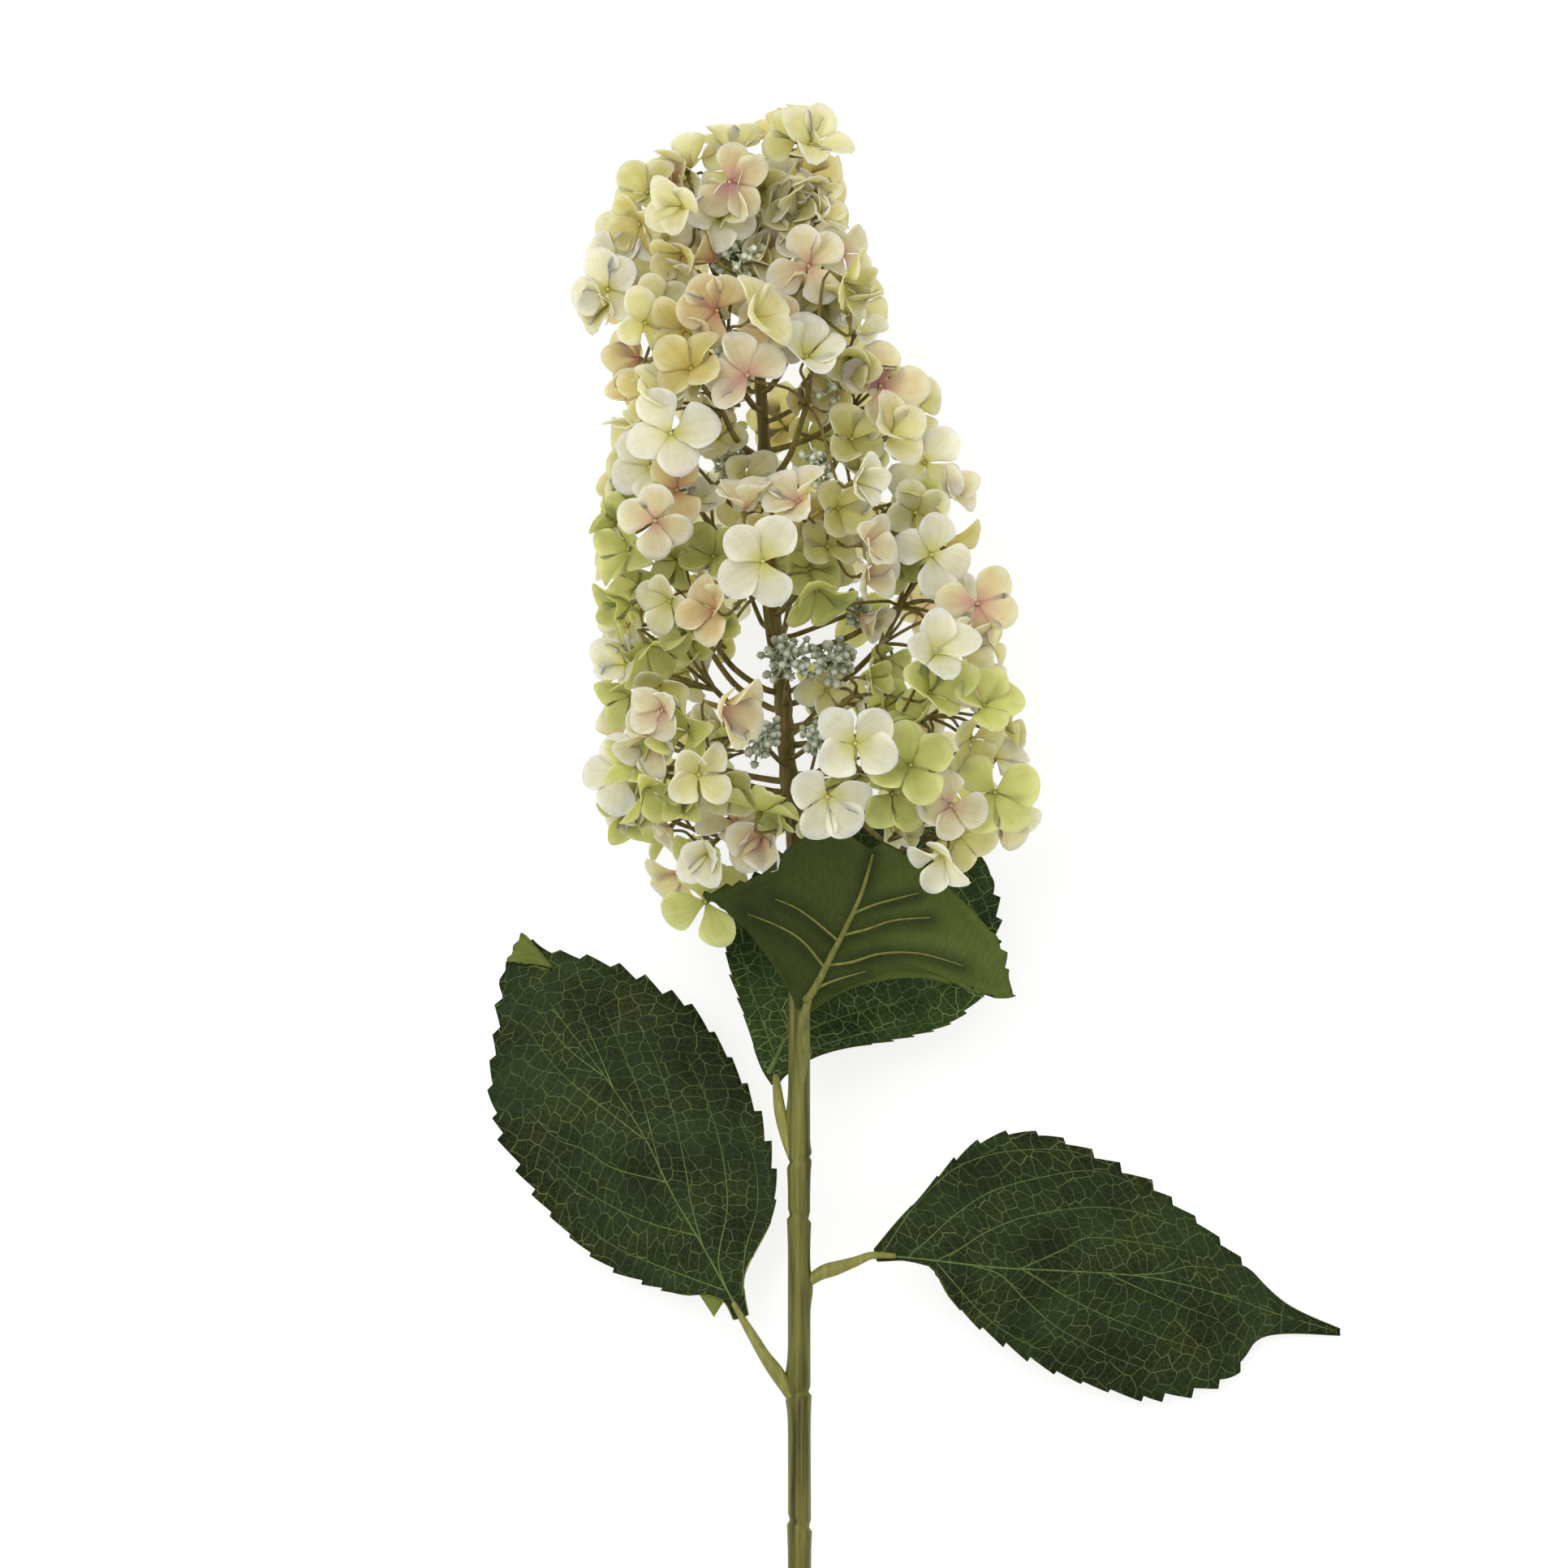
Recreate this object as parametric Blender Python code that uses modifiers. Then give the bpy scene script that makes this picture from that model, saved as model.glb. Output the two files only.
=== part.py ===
"""Cut panicle hydrangea, lying on a surface.

A 60 cm stem carries four serrated leaves on stalks and a cone-shaped flower head. The head is
an axis with side branches, each ending in four-petalled florets, and with clusters of closed
buds between them. The stem lies on its cut end and on the underside of the head.

All shapes are worked out in the plant's own frame, in millimetres: the stem runs along +Y from
the cut end at y = 0, +X is to its right and +Z is the side that faces up when it lies down.
"""
import math
import random

import bmesh
import bpy
from mathutils import Matrix, Vector
from mathutils.bvhtree import BVHTree
from mathutils.kdtree import KDTree

MM = 0.001
SEAT_GAP = 0.3
CLEARANCE = 0.25

# How the flower lies: the head end is raised by this much.
LYING_TILT = math.radians(9.0)

# Stem: radius at the cut end and at the top, and the rings where its joints are.
STEM_LENGTH = 340.0
STEM_RADIUS = 4.0
STEM_TOP_RADIUS = 3.5
STEM_RINGS = (28.0, 80.0, 134.5, 177.5, 236.5, 255.0)
RING_DEPTH = 0.7
RING_FLARE = 0.25
RING_WIDTH = 1.2

# Head axis, from the stem's top to the tip of the head.
AXIS_POINTS = (
    (0.0, STEM_LENGTH + SEAT_GAP, 0.0), (-2.0, 372.0, 0.0), (-4.0, 388.0, 0.0), (-5.5, 410.0, 0.0),
    (-9.0, 440.0, 0.0), (-11.0, 480.0, 0.0), (-12.0, 500.0, 0.0), (-14.0, 530.0, 0.0),
    (-17.0, 560.0, 0.0), (-15.0, 582.0, 0.0),
)
AXIS_RADIUS = 3.3
AXIS_TOP_RADIUS = 1.4

BRANCH_RADIUS = 1.1
PEDICEL_RADIUS = 0.5
BLADE_THICKNESS = 1.0
BLADE_ALONG = 12
BLADE_ACROSS = 6

# Floret: a hub this thick, with petals that rise from it by a share of their length.
HUB_THICKNESS = 1.2
PETAL_CUP = 0.20
NOTCH_REACH = 0.48
PETAL_HALF_ANGLE = math.radians(27.0)

# Placing the florets: two whose centres are further apart than FLORETS_REACH can't touch.
PUSH_STEP = 1.5
PUSH_LIMIT = 12
FLORETS_REACH = 34.0

# A floret's stalk: the straight runs tried behind it, how far it may bend aside on its way, and
# the angle to the floret's facing under which it needs no bend.
STALK_STRAIGHT = (4.5, 2.5, 1.2)
STALK_BENDS = (0.0, 3.0, 6.0, 9.0, 13.0, 18.0)
STRAIGHT_ENOUGH = math.cos(math.radians(38.0))
FORKS_TRIED = 4
NEAR_FLORET = 22.0

# A branch leaves the axis at a right angle, over this length, and then bends up to its fork.
BRANCH_KNEE = 3.0
BRANCH_BEND = 0.45
BRANCH_BOW = 2.0
BRANCH_RISE = 0.12
BUD_STALK_RADIUS = 0.8

# Outer shape of the head: height, centre, half width, depth towards +Z and towards -Z.
HEAD_SHAPE = (
    (335.0, 0.0, 52.0, 34.0, 34.0), (360.0, 4.0, 68.0, 60.0, 56.0), (385.0, 4.0, 74.0, 68.0, 62.0),
    (410.0, 3.0, 72.0, 68.0, 62.0), (440.0, 0.0, 68.0, 64.0, 58.0), (470.0, -7.0, 60.0, 58.0, 52.0),
    (500.0, -12.0, 54.0, 52.0, 46.0), (530.0, -15.0, 50.0, 46.0, 40.0),
    (560.0, -22.0, 44.0, 38.0, 34.0), (585.0, -20.0, 34.0, 26.0, 22.0), (606.0, -8.0, 20.0, 14.0, 10.0),
)

# Florets on the upper side: x, y, depth below the head's outer shape, then the direction it
# faces as yaw to the right and pitch upwards, the turn of its petals, and the petal length.
UPPER_FLORETS = (
    # tip of the head
    (-6, 595, 4, -20, 20, 45, 12), (4, 595, 0, 20, 20, 60, 14), (0, 581, 6, 30, -50, 20, 13),
    (-23, 579, 0, 0, 0, 40, 13), (-37, 583, 8, -10, 75, 45, 13), (-22, 588, 10, 15, 80, 30, 13),
    (-52, 576, 6, -40, 10, 50, 12), (-52, 566, 4, -40, 0, 10, 12), (-38, 570, 2, -10, 5, 20, 13),
    (-38, 556, 6, -5, -40, 30, 12), (6, 567, 8, 55, 30, 10, 10), (3, 551, 0, 5, 0, 22, 14),
    (14, 556, 6, 60, 10, 40, 11), (14, 546, 3, 40, -10, 10, 13), (8, 541, 12, 10, -20, 40, 12),
    # shoulder
    (23, 534, 4, 20, 60, 15, 14), (20, 522, 8, 15, 0, 5, 12), (33, 512, 0, 15, 0, 5, 15),
    (2, 520, 0, 20, 20, 80, 15), (-17, 514, 0, 0, 10, 35, 14), (-27, 536, 2, 0, -10, 70, 13),
    (-15, 533, 0, 40, 0, 25, 13), (-9, 530, 8, -10, 0, 45, 12), (-60, 553, 5, -25, 15, 40, 13),
    (-63, 544, 0, -15, 0, 5, 13), (-51, 532, 0, -5, -5, 10, 12), (-46, 538, 6, 0, 0, 40, 11),
    (-38, 530, 3, -20, 0, 30, 13), (-42, 522, 16, 0, -50, 20, 12), (-35, 516, 4, -10, 20, 50, 13),
    (-44, 516, 8, -10, -70, 30, 11), (-48, 509, 9, -10, 50, 60, 12), (-62, 510, 8, -30, 10, 20, 10),
    # upper middle
    (-55, 497, 2, -40, 40, 30, 11), (-42, 495, 0, 0, 5, 20, 15), (-47, 507, 8, 0, 30, 45, 12),
    (-49, 485, 2, -15, -10, 30, 13), (-58, 487, 12, -30, 0, 20, 11), (-40, 477, 2, -10, 0, 30, 13),
    (-47, 467, 0, -10, -20, 80, 13), (-56, 472, 9, -20, 0, 20, 12), (-59, 466, 8, -60, 20, 40, 10),
    (-18, 469, 4, 0, 60, 30, 13), (0, 472, 0, 5, 55, 20, 13), (17, 479, 0, 20, 0, 10, 12),
    (12, 471, 2, 5, -10, 45, 13), (-9, 468, 6, 0, -50, 20, 11), (42, 487, 1, 15, 0, 45, 14),
    (29, 495, 9, 10, 20, 20, 14), (17, 494, 16, 10, 0, 45, 12),
    # middle
    (-56, 458, 3, -50, 0, 60, 13), (-55, 446, 5, -30, 0, 20, 10), (-57, 440, 3, -60, -20, 30, 14),
    (-50, 427, 4, -10, -50, 0, 15), (-54, 419, 12, -30, 50, 15, 13), (-42, 441, 4, -20, 0, 70, 12),
    (-27, 437, 0, -10, 0, 10, 13), (-12, 453, -3, 0, 0, 48, 15), (-38, 430, 8, 0, 60, 20, 12),
    (-28, 428, 8, 20, 50, 45, 11), (-40, 455, 20, -10, 0, 45, 12), (-28, 455, 18, 0, 0, 30, 12),
    (5, 445, 4, 0, -45, 10, 14), (9, 458, 12, 10, 0, 45, 10), (20, 459, 2, 30, 10, 60, 12),
    (20, 449, 12, 20, 0, 30, 12), (32, 458, 22, 20, 0, 45, 13), (45, 456, 0, 15, 0, 75, 14),
    (38, 470, 10, 20, 10, 30, 12), (58, 440, 0, 25, 0, 70, 14), (44, 423, 0, 0, 40, 20, 14),
    (52, 426, 8, 30, 10, 45, 14), (42, 410, 2, 10, 0, 0, 16), (61, 406, 2, 35, 0, 80, 14),
    # widest part
    (18, 394, -3, 0, 0, 45, 14), (9, 377, 0, 0, -20, 12, 14), (36, 387, 2, 5, 0, 22, 15),
    (40, 401, 8, 0, 55, 15, 12), (56, 396, 4, 15, -30, 30, 12), (64, 378, 0, 10, 0, 35, 15),
    (64, 389, 8, 30, 40, 15, 12), (49, 374, 0, 20, -10, 20, 12), (52, 364, 5, 20, -60, 20, 12),
    (47, 358, 0, 5, -30, 75, 12), (30, 378, 3, 0, -20, 30, 13), (-57, 410, 12, -50, -30, 40, 13),
    (-46, 412, 12, 0, 0, 30, 12), (-44, 405, 2, -20, 10, 45, 11), (-27, 406, 0, 40, -20, 60, 16),
    (-36, 398, 3, -5, 0, 20, 14), (-33, 384, 2, 0, -25, 40, 12), (-48, 396, 6, -15, 0, 20, 13),
    (-62, 384, 0, -20, 0, 85, 14), (-53, 387, 7, -10, 0, 45, 12), (-50, 380, 3, 0, -60, 0, 15),
    (-42, 383, 14, 60, 0, 0, 13), (-38, 379, 14, 0, 0, 45, 13), (-56, 372, 6, -40, -40, 45, 12),
    (-36, 342, 0, -10, -10, 30, 15), (-30, 358, 2, 0, 0, 40, 13), (-7, 359, 14, 0, -10, 60, 14),
    (-13, 371, 14, 0, 80, 0, 13), (-22, 381, 20, 0, 0, 45, 12),
)

# Florets on the underside follow a rule: rows up the head, spaced round its lower half.
UNDER_ROWS = range(352, 600, 21)
UNDER_SPACING = 25.0
UNDER_FROM = math.radians(104.0)
UNDER_TO = math.radians(256.0)
UNDER_INSET = 0.93
UNDER_FLATNESS = 0.7
UNDER_SINK = 6.0
UNDER_SIZES = (12.0, 14.5)
UNDER_SWAY = (3.0, 5.0, 0.35)  # sideways, along the head, and in the way each one faces

# None stands right behind the axis between these heights, or under the back leaf.
OPEN_ROWS = (378.0, 440.0)
OPEN_HALF_WIDTH = 13.0
BELOW_LEAF = (368.0, -28.0)

# The flower rests on the florets between these heights that come this near the surface.
REST_ZONE = (345.0, 425.0)
REST_REACH = 9.0

# Where the side branches fork, and the height at which each leaves the head's axis.
FORKS = (
    # upper side
    (-26, 505, 20, 490), (18, 505, 22, 492), (3, 508, 30, 482), (-29, 480, 22, 470),
    (-29, 413, 24, 400), (-28, 386, 30, 378), (-32, 364, 20, 374), (19, 411, 25, 400),
    (35, 441, 20, 424), (36, 366, 20, 374), (22, 384, 34, 381), (-12, 446, 34, 420),
    (-34, 438, 14, 412), (7, 462, 32, 438), (46, 404, 12, 394),
    (-24, 530, 20, 506), (0, 538, 20, 512), (-44, 538, 4, 518), (-34, 568, 12, 540),
    (-6, 570, 12, 548), (-4, 366, 32, 372), (-10, 589, 3, 574), (28, 470, 6, 448),
    # underside
    (-30, 360, -26, 374), (30, 360, -26, 376), (-40, 392, -22, 382), (4, 384, -34, 379),
    (42, 388, -20, 384), (-34, 432, -26, 406), (30, 430, -26, 408), (-2, 450, -34, 428),
    (-34, 474, -18, 452), (14, 492, -22, 466), (-24, 510, -24, 484), (-10, 548, -20, 520),
)

# Bud clusters: middle of the dome, its radius, and the height at which its stalk leaves the axis.
BUD_CLUSTERS = (
    (-22, 557, 20, 8.0, 542), (12, 514, 20, 7.0, 502), (7, 487, 26, 6.0, 472),
    (-25, 488, 8, 6.0, 476), (20, 440, 8, 6.0, 430), (-3, 424, 26, 8.5, 408), (13, 424, 22, 7.5, 412),
    (-14, 398, 26, 7.5, 388), (6, 397, 18, 5.5, 390), (-20, 448, -12, 6.5, 434),
    (10, 410, -22, 7.0, 398), (-26, 528, -10, 6.0, 512),
)
BUD_DOME_HEIGHT = 0.62

# Leaf blades: middle vein and both edges, from the base to the tip.
LEAVES = {
    "left": dict(
        middle=((-19, 203, -4), (-33, 228, -9), (-51, 262, -17), (-72, 292, -30), (-96, 327, -49)),
        left=((-21, 203, -4), (-41, 210, -12), (-66, 220, -20), (-89, 243, -30), (-103, 272, -38),
              (-101, 292, -42), (-99, 308, -46), (-98, 325, -49)),
        right=((-17, 204, -4), (-18, 217, -6), (-9, 235, -8), (-8, 252, -12), (-16, 276, -19),
               (-34, 303, -30), (-60, 319, -39), (-80, 323, -45), (-94, 329, -49)),
    ),
    "right": dict(
        middle=((25, 224, -2), (60, 220, -8), (92, 218, -14), (125, 214, -21), (160, 203, -28),
                (182, 196.5, -32)),
        left=((25, 226, -2), (37, 240, -5), (57, 260, -12), (79, 264, -18), (106, 253, -23),
              (131, 236, -27), (150, 219, -29), (164, 206, -30), (182, 197.5, -32)),
        right=((26, 222, -2), (43, 221, -5), (50, 209, -8), (64, 196, -12), (90, 182, -17),
               (118, 175, -23), (143, 181, -27), (156, 195, -29), (182, 195.5, -32)),
    ),
    "front": dict(
        middle=((1.5, 306, 9), (8, 318, 16), (15, 333, 27), (20, 346, 38), (23, 360, 45)),
        left=((-0.5, 307, 9), (-8, 320, 17), (-18, 333, 25), (-31, 343, 33), (-14, 350, 38),
              (-2, 361, 43), (8, 366, 47), (16, 365, 47)),
        right=((3.5, 305, 9), (14, 312, 16), (40, 317, 27), (70, 310, 34), (66, 328, 38),
               (52, 344, 42), (36, 357, 45), (27, 362, 46)),
    ),
    "back": dict(
        middle=((-8, 284, -9), (4, 302, -17), (21, 325, -28), (39, 346, -37), (55, 363, -42)),
        left=((-10, 284, -9), (-18, 301, -15), (-24, 320, -22), (-24, 337, -30), (-8, 356, -38),
              (18, 370, -43), (38, 371, -44), (53, 364.5, -42)),
        right=((-6, 283, -9), (10, 291, -13), (33, 295, -20), (52, 301, -28), (63, 314, -35),
               (67, 334, -41), (64, 352, -43), (56.5, 361.5, -42)),
    ),
}

# Leaf stalks: centre line from the stem to the blade, with the radius at each point.
LEAF_STALKS = {
    "left": ((-5.4, 179.5, 0, 1.1), (-7.6, 184.5, 0, 2.6), (-11.5, 190.5, -1, 2.2), (-15.5, 197, -3, 1.8),
             (-18.8, 202.4, -3.9, 1.4)),
    "right": ((5.2, 211, 0, 1.1), (7.8, 217.8, 0, 2.6), (13, 219.5, 0, 2.3), (19, 222, -1, 1.6),
              (24.3, 223.9, -1.9, 1.2)),
    "front": ((0.6, 288, 5.1, 1.1), (0.9, 294, 6.0, 1.8), (1.2, 300, 7.0, 1.9), (1.45, 305.4, 8.7, 1.3)),
    "back": ((-5.2, 264, 0, 1.1), (-6.6, 272, -0.6, 1.9), (-7.2, 278, -3.5, 1.7), (-7.8, 283.2, -8.3, 1.2)),
}

STEM_GREEN = (0.16, 0.15, 0.035)
AXIS_BROWN = (0.13, 0.09, 0.022)
LEAF_GREEN = (0.022, 0.05, 0.014)
LEAF_PALE_GREEN = (0.10, 0.14, 0.03)
PETAL_CREAM = (0.72, 0.74, 0.48)
BUD_SAGE = (0.26, 0.33, 0.27)


def height_above_surface(point):
    return point.y * math.sin(LYING_TILT) + (point.z + STEM_RADIUS) * math.cos(LYING_TILT)


def between(points, t):
    """Point at share t of the length of a smooth curve through the given points."""
    points = [Vector(p) for p in points]
    lengths = [(b - a).length for a, b in zip(points, points[1:])]
    distance = t * sum(lengths)
    index = 0
    while index < len(lengths) - 1 and distance > lengths[index]:
        distance -= lengths[index]
        index += 1
    here, there = points[index], points[index + 1]
    before = points[max(index - 1, 0)]
    after = points[min(index + 2, len(points) - 1)]
    s = min(distance / lengths[index], 1.0)
    slope_here = (there - before) * 0.5
    slope_there = (after - here) * 0.5
    return (here * (2 * s**3 - 3 * s**2 + 1) + slope_here * (s**3 - 2 * s**2 + s)
            + there * (3 * s**2 - 2 * s**3) + slope_there * (s**3 - s**2))


def station(table, y):
    """Values of a table at height y, read between its rows."""
    if y <= table[0][0]:
        return table[0][1:]
    for low, high in zip(table, table[1:]):
        if y <= high[0]:
            s = (y - low[0]) / (high[0] - low[0])
            return [a + s * (b - a) for a, b in zip(low[1:], high[1:])]
    return table[-1][1:]


def axis_at(y):
    x = station([(p[1], p[0]) for p in AXIS_POINTS], y)[0]
    share = (y - AXIS_POINTS[0][1]) / (AXIS_POINTS[-1][1] - AXIS_POINTS[0][1])
    radius = AXIS_RADIUS + share * (AXIS_TOP_RADIUS - AXIS_RADIUS)
    return Vector((x, y, 0.0)), radius


# ---------------------------------------------------------------- objects

def start_scene():
    for thing in list(bpy.data.objects):
        bpy.data.objects.remove(thing)
    collection = bpy.data.collections.new("cut_hydrangea")
    bpy.context.scene.collection.children.link(collection)
    lying = bpy.data.objects.new("lying_pose", None)
    lying.rotation_euler = (LYING_TILT, 0.0, 0.0)
    collection.objects.link(lying)
    return collection, lying


def new_material(name, colour, roughness):
    material = bpy.data.materials.new(name)
    material.use_nodes = True
    shader = material.node_tree.nodes["Principled BSDF"]
    shader.inputs["Base Color"].default_value = (*colour, 1.0)
    shader.inputs["Roughness"].default_value = roughness
    shader.inputs["Metallic"].default_value = 0.0
    return material


def add_object(name, data, material):
    thing = bpy.data.objects.new(name, data)
    thing.data.materials.append(material)
    collection.objects.link(thing)
    thing.parent = lying
    return thing


def mesh_from(bm, name):
    bmesh.ops.recalc_face_normals(bm, faces=bm.faces)
    bmesh.ops.scale(bm, vec=(MM, MM, MM), verts=bm.verts)
    mesh = bpy.data.meshes.new(name)
    bm.to_mesh(mesh)
    bm.free()
    return mesh


def tube_mesh(name, lines, sides):
    """Closed tubes along lines of (x, y, z, radius), as one mesh in metres."""
    curve = bpy.data.curves.new(name, "CURVE")
    curve.dimensions = "3D"
    curve.bevel_depth = MM
    curve.bevel_resolution = (sides - 4) // 2
    curve.use_fill_caps = True
    for line in lines:
        spline = curve.splines.new("POLY")
        spline.points.add(len(line) - 1)
        for point, (x, y, z, radius) in zip(spline.points, line):
            point.co = (x * MM, y * MM, z * MM, 1.0)
            point.radius = radius
    holder = bpy.data.objects.new(name, curve)
    collection.objects.link(holder)
    evaluated = holder.evaluated_get(bpy.context.evaluated_depsgraph_get())
    mesh = bpy.data.meshes.new_from_object(evaluated)
    bpy.data.objects.remove(holder)
    bm = bmesh.new()
    bm.from_mesh(mesh)
    bmesh.ops.remove_doubles(bm, verts=bm.verts, dist=1e-6)
    bmesh.ops.recalc_face_normals(bm, faces=bm.faces)
    bm.to_mesh(mesh)
    bm.free()
    mesh.name = name
    return mesh


def joined(name, mesh, other, material):
    """The union of every closed body in the two meshes, as one solid."""
    thing = add_object(name, mesh, material)
    cutter = bpy.data.objects.new(name + "_joined", other)
    collection.objects.link(cutter)
    cutter.parent = lying
    union = thing.modifiers.new("union", "BOOLEAN")
    union.operation = "UNION"
    union.solver = "EXACT"
    union.use_self = True
    union.object = cutter
    evaluated = thing.evaluated_get(bpy.context.evaluated_depsgraph_get())
    solid = bpy.data.meshes.new_from_object(evaluated)
    thing.modifiers.remove(union)
    thing.data = solid
    solid.name = name
    bpy.data.objects.remove(cutter)
    return thing


# ---------------------------------------------------------------- stem, axis and leaves

def stem_radius(y):
    return STEM_RADIUS + (STEM_TOP_RADIUS - STEM_RADIUS) * y / STEM_LENGTH


def build_stem():
    """A turned rod with a shallow ring at each joint."""
    profile = [(0.0, STEM_LENGTH), (stem_radius(STEM_LENGTH), STEM_LENGTH)]
    for ring in reversed(STEM_RINGS):
        radius = stem_radius(ring)
        profile += [(radius, ring + RING_WIDTH), (radius - RING_DEPTH, ring + 0.3 * RING_WIDTH),
                    (radius - RING_DEPTH, ring - 0.3 * RING_WIDTH),
                    (radius + RING_FLARE, ring - RING_WIDTH), (radius, ring - 5 * RING_WIDTH)]
    profile += [(STEM_RADIUS, 0.0), (0.0, 0.0)]
    mesh = bpy.data.meshes.new("stem")
    points = [(r * MM, 0.0, y * MM) for r, y in profile]
    mesh.from_pydata(points, [(i, i + 1) for i in range(len(points) - 1)], [])
    stem = add_object("stem", mesh, stem_material)
    stem.rotation_euler = (math.radians(-90.0), 0.0, 0.0)
    turn = stem.modifiers.new("turn", "SCREW")
    turn.steps = turn.render_steps = 12
    turn.use_merge_vertices = True
    turn.merge_threshold = 1e-5
    turn.use_smooth_shade = True
    return stem


def build_axis():
    top = AXIS_POINTS[-1][1]
    line = []
    for x, y, z in AXIS_POINTS:
        line.append((x, y, z, axis_at(min(y, top))[1]))
    return add_object("head_axis", tube_mesh("head_axis", [line], 8), axis_material)


def blade_bmesh(leaf):
    """The blade as an open sheet: rows run from edge to edge, across the middle vein."""
    bm = bmesh.new()
    bmesh.ops.create_grid(bm, x_segments=BLADE_ACROSS, y_segments=BLADE_ALONG, size=1.0)
    for vertex in bm.verts:
        t = (vertex.co.y + 1.0) / 2.0
        side = vertex.co.x
        middle = between(leaf["middle"], t)
        edge = between(leaf["left"] if side < 0 else leaf["right"], t)
        vertex.co = middle.lerp(edge, abs(side))
    return bm


def build_leaf(side, leaf, stalk):
    material = pale_leaf_material if side == "front" else leaf_material
    blade = add_object("leaf_" + side, mesh_from(blade_bmesh(leaf), "leaf_" + side), material)
    wall = blade.modifiers.new("thickness", "SOLIDIFY")
    wall.thickness = BLADE_THICKNESS * MM
    wall.offset = 0.0
    name = "leaf_stalk_" + side
    add_object(name, tube_mesh(name, [stalk], 8), stem_material)


# ---------------------------------------------------------------- florets

class Floret:
    """Four petals on a hub: where it is, the way it faces and how it is turned."""

    def __init__(self, centre, facing, roll, size, way_out=None):
        self.centre = centre
        self.facing = facing.normalized()
        self.way_out = way_out or self.facing
        side = Vector((0.0, 1.0, 0.0)).cross(self.facing)
        if side.length < 0.05:
            side = Vector((1.0, 0.0, 0.0))
        self.side = side.normalized()
        self.up = self.facing.cross(self.side)
        self.roll = roll
        self.size = size

    def frame(self):
        turn = Matrix((self.side, self.up, self.facing)).transposed().to_4x4()
        return Matrix.Translation(self.centre) @ turn

    def bmesh(self):
        """A fan for the face, and behind it a flat hub with one flat face for each petal."""
        bm = bmesh.new()
        for is_face in (True, False):
            disc = bmesh.ops.create_circle(bm, cap_ends=True, cap_tris=is_face, segments=12, radius=1.0)
            notches = []
            for vertex in disc["verts"]:
                if vertex.co.length < 0.5:
                    vertex.co.z = HUB_THICKNESS
                    continue
                step = round(math.degrees(math.atan2(vertex.co.y, vertex.co.x)) / 30.0) % 12
                petal, corner = divmod(step, 3)
                angle = self.roll + math.radians(90.0) * petal
                if corner == 2:
                    angle += math.radians(45.0)
                    shape = Vector((math.cos(angle), math.sin(angle), 0.0)) * NOTCH_REACH
                    notches.append((petal, vertex))
                else:
                    angle += PETAL_HALF_ANGLE if corner == 1 else -PETAL_HALF_ANGLE
                    shape = Vector((math.cos(angle), math.sin(angle), PETAL_CUP))
                vertex.co = shape * self.size
            if not is_face:
                notches = [vertex for _, vertex in sorted(notches, key=lambda pair: pair[0])]
                for here, there in zip(notches, notches[1:] + notches[:1]):
                    bmesh.ops.connect_verts(bm, verts=[here, there])
        bmesh.ops.remove_doubles(bm, verts=bm.verts, dist=1e-4)
        bmesh.ops.transform(bm, matrix=self.frame(), verts=bm.verts)
        return bm

    def tree(self):
        bm = self.bmesh()
        tree = BVHTree.FromBMesh(bm, epsilon=CLEARANCE)
        bm.free()
        return tree

    def lowest(self):
        bm = self.bmesh()
        low = min(height_above_surface(v.co) for v in bm.verts)
        bm.free()
        return low

    def raise_by(self, rise):
        self.centre = self.centre + Vector((0.0, math.sin(LYING_TILT), math.cos(LYING_TILT))) * rise

    def stand_clear_of_surface(self):
        low = self.lowest()
        resting = self.facing.z < 0 and REST_ZONE[0] < self.centre.y < REST_ZONE[1] and low < REST_REACH
        if low < 0 or resting:
            self.raise_by(-low)


def head_normal(x, y, z):
    middle, width, front, back = station(HEAD_SHAPE, y)
    depth = front if z >= 0 else back
    taper = 0.25 if y > 400 else -0.15
    return Vector(((x - middle) / width, taper, z / depth)).normalized()


def facing_from(yaw, pitch):
    yaw, pitch = math.radians(yaw), math.radians(pitch)
    return Vector((math.sin(yaw) * math.cos(pitch), math.sin(pitch), math.cos(yaw) * math.cos(pitch)))


def upper_floret(row):
    x, y, sink, yaw, pitch, roll, size = row
    middle, width, front, _ = station(HEAD_SHAPE, y)
    reach = min(abs(x - middle) / width, 0.97)
    centre = Vector((x, y, front * math.sqrt(1.0 - reach**2) - sink))
    upwards = Vector((0.0, 0.0, 1.0))
    return sink, Floret(centre, facing_from(yaw, pitch), math.radians(roll), size, upwards)


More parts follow.
